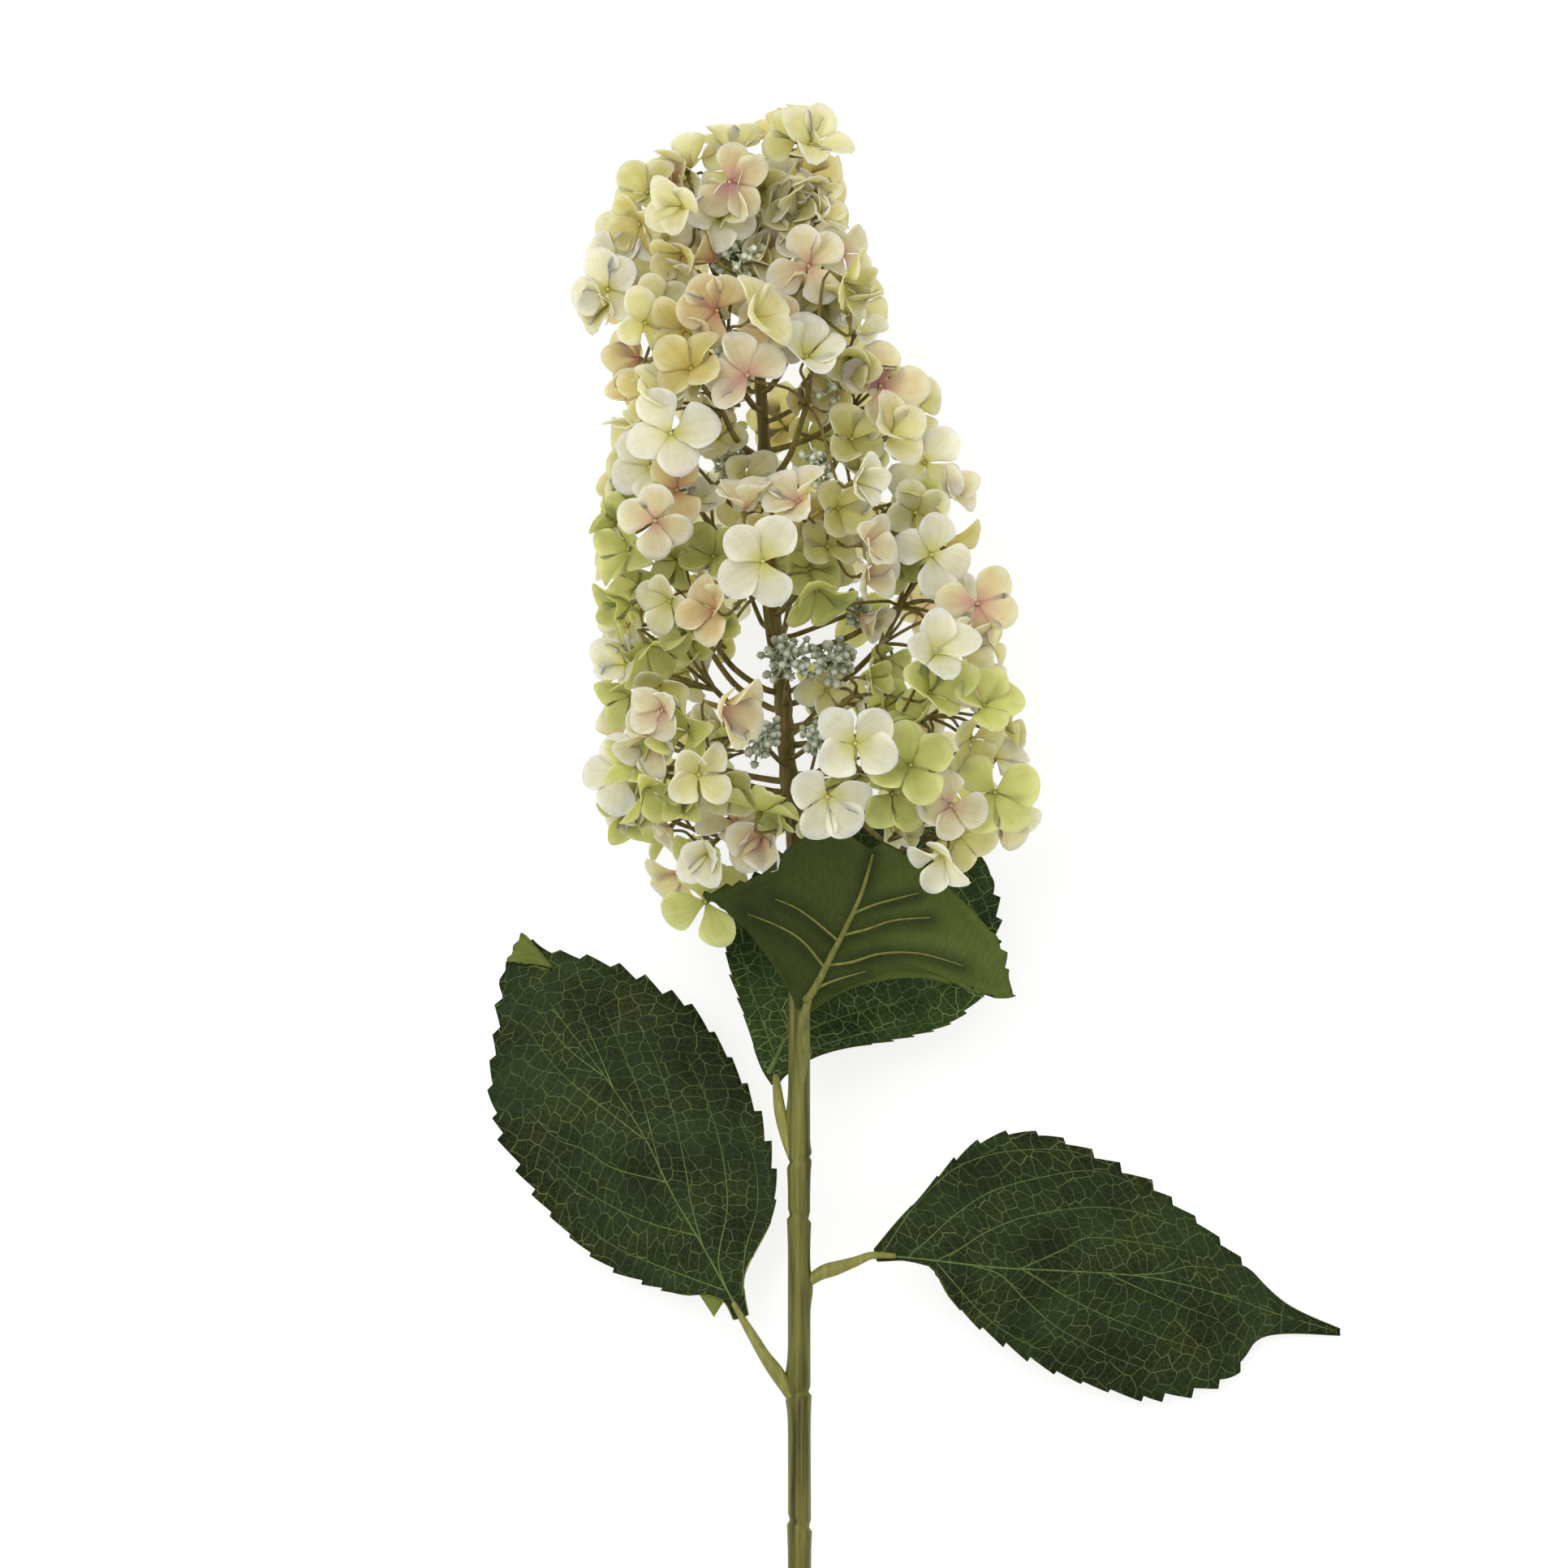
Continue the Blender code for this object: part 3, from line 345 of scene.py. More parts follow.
# %% [markdown]
# ## The floor and the light
# The flower lies on a light table: a pale matt acrylic top that is lit a little from below, so
# that shadows stay faint and light comes through the thin petals. Above it are a bright surround,
# one large lamp high on the left as the key, and a weaker one on the right.

# %% Floor and lights
FLOOR_REACH = 3.0  # metres from its middle to each side
FLOOR_GLOW = 0.74
SPECKLE_SIZE = 2.5 * MM
SURROUND = 0.69

floor_acrylic, shader = new_material(
    "matt opal acrylic tabletop", Roughness=0.9, Specular_IOR_Level=0.0,
    Emission_Color=(1.0, 1.0, 0.995, 1.0), Emission_Strength=FLOOR_GLOW)
place = add_node(floor_acrylic, "TexCoord").outputs["Object"]
speckle = add_node(floor_acrylic, "TexNoise", {"Vector": place, "Scale": 1 / SPECKLE_SIZE, "Detail": 3.0})
opal = add_node(floor_acrylic, "Mix", {
    0: speckle.outputs["Fac"], 6: colour("#a0a0a0"), 7: colour("#a4a4a4")}, data_type="RGBA")
connect(floor_acrylic, opal.outputs[2], shader.inputs["Base Color"])

bm = bmesh.new()
bmesh.ops.create_grid(bm, x_segments=1, y_segments=1, size=FLOOR_REACH)
floor_mesh = bpy.data.meshes.new("floor")
bm.to_mesh(floor_mesh)
bm.free()
floor_mesh.materials.append(floor_acrylic)
floor = bpy.data.objects.new("floor", floor_mesh)
scene.collection.objects.link(floor)

world = bpy.data.worlds.new("studio")
world.use_nodes = True
surround = world.node_tree.nodes["Background"].inputs
surround["Color"].default_value = (1.0, 1.0, 1.0, 1.0)
surround["Strength"].default_value = SURROUND
scene.world = world
scene.view_settings.view_transform = "Standard"


def add_lamp(name, place, size, power):
    """A square lamp, placed in metres and aimed at the flower, with its power in watts."""
    lamp = bpy.data.lights.new(name, "AREA")
    lamp.size = size
    lamp.energy = power
    holder = bpy.data.objects.new(name, lamp)
    holder.location = place
    holder.rotation_euler = (-Vector(place)).to_track_quat("-Z", "Y").to_euler()
    scene.collection.objects.link(holder)


add_lamp("key", (-0.8, 0.6, 2.1), 1.5, 24.5)
add_lamp("fill", (1.2, -0.5, 2.0), 1.4, 7.0)

# %% [markdown]
# ## Curves, tubes and finished pieces
# Three helpers make the rest short: a smooth curve through a few points, tubes along such curves,
# and a function that puts a finished mesh into the room with its finish, and hides the solid it
# stands for. Tubes come from Blender's own curve bevel, which also closes their ends.

# %% Curves and tubes
TUBE_MERGE = 1e-4


def on_curve(points, t):
    """Point at share t of the length of a smooth curve through the given points."""
    points = [Vector(p) for p in points]
    lengths = [(b - a).length for a, b in zip(points, points[1:])]
    distance = t * sum(lengths)
    index = 0
    while index < len(lengths) - 1 and distance > lengths[index]:
        distance -= lengths[index]
        index += 1
    here, there = points[index], points[index + 1]
    slope_here = (there - points[max(index - 1, 0)]) * 0.5
    slope_there = (points[min(index + 2, len(points) - 1)] - here) * 0.5
    s = distance / lengths[index]
    return (here * (2 * s**3 - 3 * s**2 + 1) + slope_here * (s**3 - 2 * s**2 + s)
            + there * (3 * s**2 - 2 * s**3) + slope_there * (s**3 - s**2))


def ease(low, high, value):
    """0 below low, 1 above high, and a smooth step between them."""
    s = min(max((value - low) / (high - low), 0.0), 1.0)
    return s * s * (3 - 2 * s)


def add_tubes(bm, lines, sides):
    """Closed tubes into bm, each along a list of (point, radius)."""
    curve = bpy.data.curves.new("tubes", "CURVE")
    curve.dimensions = "3D"
    curve.bevel_depth = 1.0
    curve.bevel_resolution = (sides - 4) // 2
    curve.use_fill_caps = True
    for line in lines:
        spline = curve.splines.new("POLY")
        spline.points.add(len(line) - 1)
        for point, (place, radius) in zip(spline.points, line):
            point.co = (*place, 1.0)
            point.radius = radius
    holder = bpy.data.objects.new("tubes", curve)
    scene.collection.objects.link(holder)
    mesh = bpy.data.meshes.new_from_object(holder.evaluated_get(bpy.context.evaluated_depsgraph_get()))
    bpy.data.objects.remove(holder)
    tubes = bmesh.new()
    tubes.from_mesh(mesh)
    bmesh.ops.remove_doubles(tubes, verts=tubes.verts, dist=TUBE_MERGE)
    bmesh.ops.recalc_face_normals(tubes, faces=tubes.faces)
    tubes.to_mesh(mesh)
    tubes.free()
    bm.from_mesh(mesh)
    bpy.data.meshes.remove(mesh)


print("half way along a bend:", on_curve([(0, 0, 0), (1, 0, 0), (1, 1, 0)], 0.5))

# %% Finished pieces
FLOOR_GAP = 0.15  # no piece comes closer to the surface than this


def finish_piece(name, bm, materials, nodes, wall=None):
    """Put a mesh in the plant's frame into the room as a finished piece, with a wall if it is a sheet."""
    bmesh.ops.transform(bm, matrix=PLANT, verts=bm.verts)
    for vertex in bm.verts:
        vertex.co.z = max(vertex.co.z, FLOOR_GAP * MM)
    for face in bm.faces:
        face.smooth = True
    mesh = bpy.data.meshes.new(name)
    bm.to_mesh(mesh)
    bm.free()
    for material in materials:
        mesh.materials.append(material)
    piece = bpy.data.objects.new(name, mesh)
    scene.collection.objects.link(piece)
    if wall:
        shell = piece.modifiers.new("wall", "SOLIDIFY")
        shell.thickness = wall * MM
        shell.offset = 0.0
        if len(materials) > 1:
            shell.material_offset = 1
            shell.material_offset_rim = 1
    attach(piece, "root")
    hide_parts(*nodes)


print("lowest height of any piece: %.2f mm" % FLOOR_GAP)

# %% [markdown]
# ## The stem
# The real stem is moulded in lengths. At each joint the lower length ends in a small flared
# sheath, and the next one starts thinner inside it, on a slant. A tube with a ring of points
# every 1.2 mm takes its radius from a profile, and then its points are moved: the joints are
# slanted, the wall gets shallow flutes, and the stem swells where a leaf stalk grows.

# %% Stem
STEM_LENGTH = 340.0
STEM_TOP_RADIUS = 3.5
STEM_COAT = 0.05  # how much thicker the stem is than its solid, without its joints
# Each joint's height, and how far its slant reaches up on the right.
JOINTS = ((28.0, 1.0), (80.0, -1.2), (134.5, -1.2), (177.5, 0.8), (236.5, -0.6), (255.0, 1.0))
JOINT_STEP = 0.45
SHEATH_LENGTH = 14.0
JOINT_GROOVE = 0.75
GROOVE_RISE = 0.6
GROOVE_WIDTH = 0.9
SLANT_REACH = 6.0
# Each swelling's height, its side (1 is right), its size and its reach along the stem.
SWELLINGS = (
    (182.0, -1.0, 1.1, 6.0), (213.0, 1.0, 0.9, 5.0), (268.0, -1.0, 0.9, 7.0), (257.0, 1.0, 0.6, 3.0))
FLUTES = 7
FLUTE_DEPTH = 0.10
FLUTE_TWIST = 0.02
CUT_SLOPE = 0.12
RING_STEP = 1.2
STEM_SIDES = 24


def stem_radius(y):
    """The stem's radius at height y, with its joints."""
    radius = STEM_RADIUS + STEM_COAT + (STEM_TOP_RADIUS - STEM_RADIUS) * y / STEM_LENGTH
    for joint, _ in JOINTS:
        above = y - joint
        if -SHEATH_LENGTH < above <= 0.0:
            radius += JOINT_STEP * (1.0 + above / SHEATH_LENGTH) ** 2
        radius -= JOINT_GROOVE * math.exp(-((above - GROOVE_RISE) / GROOVE_WIDTH) ** 2)
    return radius


bm = bmesh.new()
rings = int(STEM_LENGTH / RING_STEP)
centre_line = [Vector((0.0, STEM_LENGTH * k / rings, 0.0)) for k in range(rings + 1)]
add_tubes(bm, [[(p, stem_radius(p.y)) for p in centre_line]], STEM_SIDES)
for vertex in bm.verts:
    x, y, z = vertex.co
    across = math.hypot(x, z)
    angle = math.atan2(z, x)
    grow = FLUTE_DEPTH * math.sin(FLUTES * angle + FLUTE_TWIST * y)
    for height, side, size, reach in SWELLINGS:
        facing = max(side * math.cos(angle), 0.0)
        grow += size * facing ** 2 * math.exp(-((y - height) / reach) ** 2)
    vertex.co.x *= 1 + grow / across
    vertex.co.z *= 1 + grow / across
    if 0.0 < y < STEM_LENGTH:
        for joint, slant in JOINTS:
            vertex.co.y += slant * math.cos(angle) * math.exp(-((y - joint) / SLANT_REACH) ** 2)
    if y < 0.1:
        vertex.co.y += CUT_SLOPE * x
finish_piece("jointed_stem", bm, [stem_plastic], ["stem"])
print("stem rings:", rings)

# %% [markdown]
# ## The axis inside the head
# A brown rod goes up through the head, thinner towards the tip, with a small knot wherever a
# branch leaves it. It is a tube along the line that the solid model follows, and a knot is only a
# few rings of the tube with a larger radius, so no other shape has to be joined on.

# %% Head axis
AXIS_INSET = 2.0
AXIS_POINTS = (
    (0.0, STEM_LENGTH - AXIS_INSET, 0.0), (-2.0, 372.0, 0.0), (-4.0, 388.0, 0.0), (-5.5, 410.0, 0.0),
    (-9.0, 440.0, 0.0), (-11.0, 480.0, 0.0), (-12.0, 500.0, 0.0), (-14.0, 530.0, 0.0),
    (-17.0, 560.0, 0.0), (-15.0, 582.0, 0.0),
)
AXIS_FOOT, AXIS_TOP = AXIS_POINTS[0][1], AXIS_POINTS[-1][1]
AXIS_RADIUS = 3.3
AXIS_TOP_RADIUS = 1.4
AXIS_TRIM = 0.1  # how much thinner the rod is than its solid, between its knots
AXIS_RINGS = 160
KNOT_HEIGHT = 0.45
KNOT_REACH = 1.6

# Where each side branch forks, and the height at which it leaves the axis.
FORKS = (
    # upper side
    (-26, 505, 20, 490), (18, 505, 22, 492), (3, 508, 30, 482), (-29, 480, 22, 470),
    (-29, 413, 24, 400), (-28, 386, 30, 378), (-32, 364, 20, 374), (19, 411, 25, 400),
    (35, 441, 20, 424), (36, 366, 20, 374), (22, 384, 34, 381), (-12, 446, 34, 420),
    (-34, 438, 14, 412), (7, 462, 32, 438), (46, 404, 12, 394),
    (-24, 530, 20, 506), (0, 538, 20, 512), (-44, 538, 4, 518), (-34, 568, 12, 540),
    (-6, 570, 12, 548), (-4, 366, 32, 372), (-10, 589, 3, 574), (28, 470, 6, 448),
    # underside
    (-30, 360, -26, 374), (30, 360, -26, 376), (-40, 392, -22, 382), (4, 384, -34, 379),
    (42, 388, -20, 384), (-34, 432, -26, 406), (30, 430, -26, 408), (-2, 450, -34, 428),
    (-34, 474, -18, 452), (14, 492, -22, 466), (-24, 510, -24, 484), (-10, 548, -20, 520),
)


def axis_at(y):
    """The axis's middle and radius at height y."""
    for low, high in zip(AXIS_POINTS, AXIS_POINTS[1:]):
        if y <= high[1]:
            break
    x = low[0] + (high[0] - low[0]) * (y - low[1]) / (high[1] - low[1])
    share = (y - AXIS_FOOT) / (AXIS_TOP - AXIS_FOOT)
    return Vector((x, y, 0.0)), AXIS_RADIUS + share * (AXIS_TOP_RADIUS - AXIS_RADIUS)


bm = bmesh.new()
line = []
for k in range(AXIS_RINGS + 1):
    y = AXIS_FOOT + (AXIS_TOP - AXIS_FOOT) * k / AXIS_RINGS
    middle, radius = axis_at(y)
    knots = sum(math.exp(-((y - fork[3]) / KNOT_REACH) ** 2) for fork in FORKS)
    line.append((middle, radius - AXIS_TRIM + KNOT_HEIGHT * min(knots, 1.0)))
add_tubes(bm, [line], 16)
finish_piece("axis_rod", bm, [stalk_plastic], ["head_axis"])
print("branches on the axis:", len(FORKS))

# %% [markdown]
# ## Leaf blades
# A blade is a sheet mapped between three curves: its middle vein and its two edges. The rows of
# the sheet don't run straight across but sweep forward, as the side veins do, so that each vein
# is a row. The rim of every few rows is pulled out to a tooth that points to the tip, and between
# two veins the cloth is pressed up a little. An outline cut from a flat shape would give the
# teeth as easily, but not rows that follow the veins.

# %% Leaf outlines
# Points in millimetres from the stem's cut end: each blade's middle vein and its two edges.
LEAVES = {
    "left": dict(
        middle=((-19, 203, -4), (-33, 228, -9), (-51, 262, -17), (-72, 292, -30), (-91, 316, -44),
                (-112, 330, -50)),
        left=((-22, 202.5, -4), (-25.5, 208.5, -6.5), (-33, 210.2, -9), (-41, 210.2, -12),
              (-66, 220, -20), (-89, 243, -30), (-103, 272, -38),
              (-102, 296, -42), (-100.3, 312, -45), (-99.3, 321, -46.5), (-111, 329.5, -50)),
        right=((-17, 204, -4), (-18, 217, -6), (-9, 235, -8), (-8, 252, -12), (-16, 276, -19),
               (-34, 303, -30), (-60, 318.5, -39), (-80, 323.5, -44.5), (-88, 326, -46), (-95, 331, -47.5),
               (-111, 331, -50)),
    ),
    "right": dict(
        middle=((25, 224, -2), (60, 220, -8), (92, 218, -14), (125, 214, -21), (160, 203, -28),
                (182, 196.5, -32)),
        left=((25, 226, -2), (37, 240, -5), (57, 260, -12), (79, 264, -18), (106, 253, -23),
              (131, 236, -27), (150, 219, -29), (164, 206, -30), (182, 197.5, -32)),
        right=((26, 222, -2), (43, 221, -5), (50, 209, -8), (64, 196, -12), (90, 182, -17),
               (118, 175, -23), (143, 181, -27), (156, 195, -29), (182, 195.5, -32)),
    ),
    "front": dict(
        middle=((1.5, 306, 9), (8, 318, 16), (15, 333, 27), (20, 346, 38), (23, 360, 45)),
        left=((-0.5, 307, 9), (-8, 320, 17), (-18, 333, 25), (-28, 341.5, 31), (-32, 344, 34),
              (-24, 346.5, 36), (-12, 351.5, 39), (-2, 361, 43), (8, 366, 47), (16, 365, 47)),
        right=((3.5, 305, 9), (14, 312, 16), (27, 316, 22), (40, 317, 27), (54, 314, 31),
               (63, 310.5, 34), (70.5, 310.5, 35), (68, 317, 36), (66, 328, 38),
               (52, 344, 42), (36, 357, 45), (27, 362, 46)),
    ),
    "back": dict(
        middle=((-8.3, 280.5, -8), (-5, 290, -11), (4, 302, -17), (21, 325, -28), (39, 346, -37),
                (55, 363, -42)),
        left=((-9.3, 280.8, -8), (-13, 287, -10), (-18, 301, -15), (-24, 320, -22), (-24, 337, -30),
              (-8, 356, -38), (18, 370, -43), (38, 371, -44), (53, 364.5, -42)),
        right=((-6.9, 280.8, -8), (-3, 285, -9), (10, 291, -13), (33, 295, -20), (52, 301, -28),
               (63, 314, -35), (67, 334, -41), (64, 352, -43), (56.5, 361.5, -42)),
    ),
}
print("leaves:", ", ".join(LEAVES))

# %% The veins of each leaf
# The middle vein of each blade comes first, then its side veins, as they look from above.
VEINS = {
    "left": (
        ((-19, 203), (-33, 228), (-42, 243), (-52, 263), (-64, 281), (-78, 299), (-84, 307)),
        ((-24, 212), (-27, 222), (-24, 240), (-26, 258), (-31, 275), (-38, 290)),
        ((-32, 226), (-36, 240), (-38, 252), (-42, 270), (-48, 288), (-55, 302)),
        ((-46, 250), (-52, 273), (-58, 288), (-66, 306)),
        ((-19, 210), (-18, 225), (-14, 240), (-15, 255), (-20, 268)),
        ((-62, 278), (-69, 294), (-77, 311)),
        ((-34, 230), (-50, 234), (-64, 240), (-75, 247), (-85, 256)),
        ((-45, 248), (-62, 252), (-72, 258), (-82, 262), (-92, 272)),
        ((-52, 262), (-68, 274), (-76, 280), (-84, 288), (-92, 299)),
        ((-25, 212), (-45, 219), (-60, 225), (-74, 234)),
        ((-66, 283), (-79, 293), (-89, 306)),
    ),
    "right": (
        ((26, 224), (45, 222), (65, 219.5), (90, 218), (110, 216.5), (125, 214), (145, 208.5),
         (160, 203), (180, 197)),
        ((28, 225), (36, 237), (45, 247), (55, 254), (70, 258), (90, 258), (104, 253)),
        ((36, 223), (43, 229), (52, 237), (65, 245), (85, 250), (100, 251), (114, 246)),
        ((46, 222), (54, 226), (62, 231), (75, 236), (95, 239), (110, 238), (125, 233)),
        ((74, 219), (88, 225), (97, 229), (115, 227), (131, 224)),
        ((112, 216.5), (122, 217), (131, 219), (142, 218)),
        ((46, 221), (52, 214), (60, 205), (70, 197), (84, 190)),
        ((58, 220), (67, 217), (75, 209), (85, 200), (95, 194), (105, 189), (118, 184)),
        ((74, 219), (82, 214), (90, 209), (102, 203), (112, 199), (122, 195), (135, 191)),
        ((103, 217), (116, 211), (128, 206), (141, 201)),
    ),
    "front": (
        ((2, 309), (5, 313), (10, 323), (16, 335), (20, 344), (22.5, 352), (24, 358)),
        ((13, 329), (6, 335), (-1, 340), (-8, 343)),
        ((8.5, 320), (1, 329), (-7, 334), (-17, 338)),
        ((17, 338), (24, 341), (31, 343), (39, 345)),
        ((14, 331), (22, 333), (31, 336), (43, 337)),
        ((9, 321), (17, 322), (27, 325), (40, 325), (54, 321)),
        ((5, 313), (12, 316), (22, 319)),
    ),
    "back": (
        ((-5.5, 294.5), (1, 302), (8, 311), (21, 325), (39, 346), (50, 358)),
        ((-7, 287), (-11, 298), (-16, 312), (-20, 326)),
        ((-2, 294), (-7, 306), (-12, 318), (-14, 334)),
        ((-5, 290), (6, 293), (20, 297), (40, 301), (50, 307)),
        ((1, 298), (12, 302), (25, 306), (38, 309), (54, 317)),
        ((16, 319), (28, 322), (44, 327), (58, 336)),
        ((30, 336), (42, 340), (52, 347), (57, 355)),
        ((8, 309), (4, 322), (2, 336), (4, 350)),
    ),
}
print("veins:", sum(len(veins) for veins in VEINS.values()))

# %% Measures of a blade
LEAF_WALL = 0.45
NUDGE = 0.01
VEIN_STEPS = 40
TIP_FOLD_START = Vector((-98.6, 321.5, -46.3))
TIP_FOLD_ACROSS = Vector((0.917, -0.399, 0.24)).normalized()
TIP_FOLD_RISE = 1.5


def blade_length(leaf):
    return sum((Vector(b) - Vector(a)).length for a, b in zip(leaf["middle"], leaf["middle"][1:]))


def edge_point(leaf, t, side):
    """Point of the left edge if side is below 0, or else of the right edge."""
    return on_curve(leaf["left"] if side < 0 else leaf["right"], t)


def blade_point(leaf, t, side):
    """Point of the blade at share t along it and at side, from -1 on its left edge to 1."""
    return on_curve(leaf["middle"], t).lerp(edge_point(leaf, t, side), abs(side))


def blade_normal(leaf, t, side):
    """The way the blade faces at a place, measured just inside its rim."""
    t = min(max(t, 0.02), 0.98)
    side = min(max(side, -0.97), 0.97)
    up = blade_point(leaf, t + NUDGE, side) - blade_point(leaf, t - NUDGE, side)
    across = blade_point(leaf, t, side + NUDGE) - blade_point(leaf, t, side - NUDGE)
    return across.cross(up).normalized()


def flat_tree(veins):
    """A search tree of points along the veins, seen from above."""
    spots = [on_curve([(*p, 0.0) for p in vein], k / VEIN_STEPS)
             for vein in veins for k in range(VEIN_STEPS + 1)]
    tree = KDTree(len(spots))
    for number, spot in enumerate(spots):
        tree.insert(spot, number)
    tree.balance()
    return tree


def fold_tip(point):
    """Turn the tip of the left blade over its fold line, so that it lies on the blade."""
    beyond = (point - TIP_FOLD_START).dot(TIP_FOLD_ACROSS)
    if beyond < 0:
        point = point - 2 * beyond * TIP_FOLD_ACROSS + Vector((0, 0, TIP_FOLD_RISE))
    return point


for name, leaf in LEAVES.items():
    print(name, "blade is %.0f mm long" % blade_length(leaf))

# %% Teeth and swellings
TEETH = 19
TOOTH_LEAN = 1.6
TOOTH_INSET = 0.4
UNEVENNESS = 7.3  # radians from tooth to tooth, so that neighbours differ in depth
SWELL_REACH = 4.5
SWELL_INSET = 0.4

# Where each blade's teeth begin and end, how deep they are, and how far the cloth swells up.
BLADE_FORM = {
    "left": dict(teeth=(0.10, 0.95), depth=3.0, swell=2.2),
    "right": dict(teeth=(0.14, 0.84), depth=3.0, swell=2.2),
    "front": dict(teeth=(0.42, 0.70), depth=1.6, swell=-3.0),
    "back": dict(teeth=(0.15, 0.90), depth=3.0, swell=2.0),
}


def tooth_offset(leaf, form, point, t, side):
    """How far a point on the rim moves to make the teeth: out, and towards the tip."""
    first, last = form["teeth"]
    tooth = (t * TEETH) % 1.0
    bite = ease(first - 0.08, first, t) * (1 - ease(last - 0.06, last, t))
    deep = form["depth"] * (0.85 + 0.3 * math.sin(UNEVENNESS * math.floor(t * TEETH) + 2 * side))
    middle = on_curve(leaf["middle"], t)
    outward = (point - middle).normalized()
    forward = (on_curve(leaf["middle"], min(t + 2 * NUDGE, 1)) - middle).normalized()
    return (outward * deep * (tooth - TOOTH_INSET) + forward * TOOTH_LEAN * tooth) * bite


def swell_offset(leaf, form, from_vein, t, side):
    """How far the cloth is pressed up between two veins, fading out at the rim and at both ends."""
    swell = 1 - math.exp(-(from_vein / SWELL_REACH) ** 2)
    swell *= (1 - ease(0.8, 1.0, abs(side))) * ease(0.0, 0.12, t) * (1 - ease(0.85, 1.0, t))
    return blade_normal(leaf, t, side) * form["swell"] * (swell - SWELL_INSET)


print("teeth on each edge:", TEETH)

# %% Leaf blades
ROWS_PER_TOOTH = 5
COLUMNS = 14
# Painted shade beside the veins of an underside: how much darker it gets, and how far it reaches.
RIB_SHADE = 0.85
RIB_SHADE_REACH = 3.2
# Painted light: the undersides are painted paler from the left to the right.
PALER_FROM, PALER_TO = -10, 55  # the front blade's underside gets paler to the right


def painted_light_share(x, from_vein):
    """Painted light and shade on an underside: painted paler to the right, and painted shade beside a vein.
    """
    beside_vein = math.exp(-(from_vein / RIB_SHADE_REACH) ** 2)
    return (0.3 + 0.7 * ease(PALER_FROM, PALER_TO, x)) * (1 - RIB_SHADE * beside_vein)


def make_blade(name, leaf, form):
    """A grid laid between the leaf's three curves, with teeth, swellings and a map of the sheet."""
    bm = bmesh.new()
    bmesh.ops.create_grid(bm, x_segments=2 * COLUMNS, y_segments=TEETH * ROWS_PER_TOOTH, size=1.0)
    cloth_map = bm.loops.layers.uv.new("cloth")
    painted_rib_shade_and_light = bm.verts.layers.float.new("painted_rib_shade_and_light")
    tree = flat_tree(VEINS[name])
    flat = {}
    for vertex in bm.verts:
        t, side = (vertex.co.y + 1) / 2, vertex.co.x
        point = blade_point(leaf, t, side)
        across = side * (edge_point(leaf, t, side) - on_curve(leaf["middle"], t)).length
        flat[vertex] = (0.5 + across / CLOTH_UNIT, t * blade_length(leaf) / CLOTH_UNIT)
        from_vein = tree.find((point.x, point.y, 0.0))[2]
        # painted light and shade: paler to the right, darker beside a vein
        vertex[painted_rib_shade_and_light] = painted_light_share(point.x, from_vein)
        if abs(side) > 0.99:
            point += tooth_offset(leaf, form, point, t, side)
        else:
            point += swell_offset(leaf, form, from_vein, t, side)
        vertex.co = fold_tip(point) if name == "left" else point
    for face in bm.faces:
        for loop in face.loops:
            loop[cloth_map].uv = flat[loop.vert]
    return bm


# The cloth on each side of a blade: the side that faces up comes first.
BLADE_CLOTHS = {
    "left": [leaf_cloth, pale_back],
    "right": [leaf_cloth, dyed_back_with_painted_light],
    "front": [dyed_back_with_painted_light, leaf_cloth],
    "back": [painted_lighter_cloth, dyed_back_with_painted_light],
}
blade_trees = {}
for name, leaf in LEAVES.items():
    bm = make_blade(name, leaf, BLADE_FORM[name])
    blade_trees[name] = BVHTree.FromBMesh(bm)
    print(name, "blade has", len(bm.faces), "faces")
    finish_piece("blade_" + name, bm, BLADE_CLOTHS[name], ["leaf_" + name], wall=LEAF_WALL)

# %% [markdown]
# ## Vein threads, ribs and leaf stalks
# The larger veins are laid on the blade as thin threads: each is dropped onto the surface from
# above, so that it follows every swelling. Under the blade runs a plastic rib that stiffens it,
# and below it the stalk is thicker and clasps the stem. At the base of the left blade one corner
# of the cloth is turned over, and its pale back shows.

# %% Vein threads
THREAD_RADIUS = {"left": (0.46, 0.30), "right": (0.46, 0.30), "back": (0.50, 0.34), "front": (1.5, 0.6)}
THREAD_TAPER = 0.3
THREAD_STEPS = 30
DROP_HEIGHT = 200.0
BACK_STRIP = ((-10.3, 284), (-7.6, 289.5), (-4.9, 295.5))
BACK_STRIP_RADII = (1.2, 0.6)


def thread_line(tree, vein, first, last):
    """A tapered line dropped from above onto the blade."""
    line = []
    for k in range(THREAD_STEPS + 1):
        flat = on_curve([(*p, 0.0) for p in vein], k / THREAD_STEPS)
        hit = tree.ray_cast(Vector((flat.x, flat.y, DROP_HEIGHT)), Vector((0, 0, -1)))[0]
        if hit:
            line.append((hit + Vector((0, 0, LEAF_WALL / 2)), first + (last - first) * k / THREAD_STEPS))
    return line


def vein_threads(name):
    """All the threads of a blade, as lines for tubes."""
    main_width, side_width = THREAD_RADIUS[name]
    lines = []
    for number, vein in enumerate(VEINS[name]):
        width = side_width if number else main_width
        lines.append(thread_line(blade_trees[name], vein, width, THREAD_TAPER * width))
    if name == "back":
        lines.append(thread_line(blade_trees[name], BACK_STRIP, *BACK_STRIP_RADII))
    return [line for line in lines if len(line) > 2]


print("threads:", {name: len(vein_threads(name)) for name in LEAVES})

# %% The turned corner of the left blade
BASE_FOLD = ((-34.0, 211.5, -9.8), (-25.0, 208.5, -7.2), (-28.5, 203.0, -8.4))
CORNER_SAG = 0.8
CORNER_WALL = 0.3


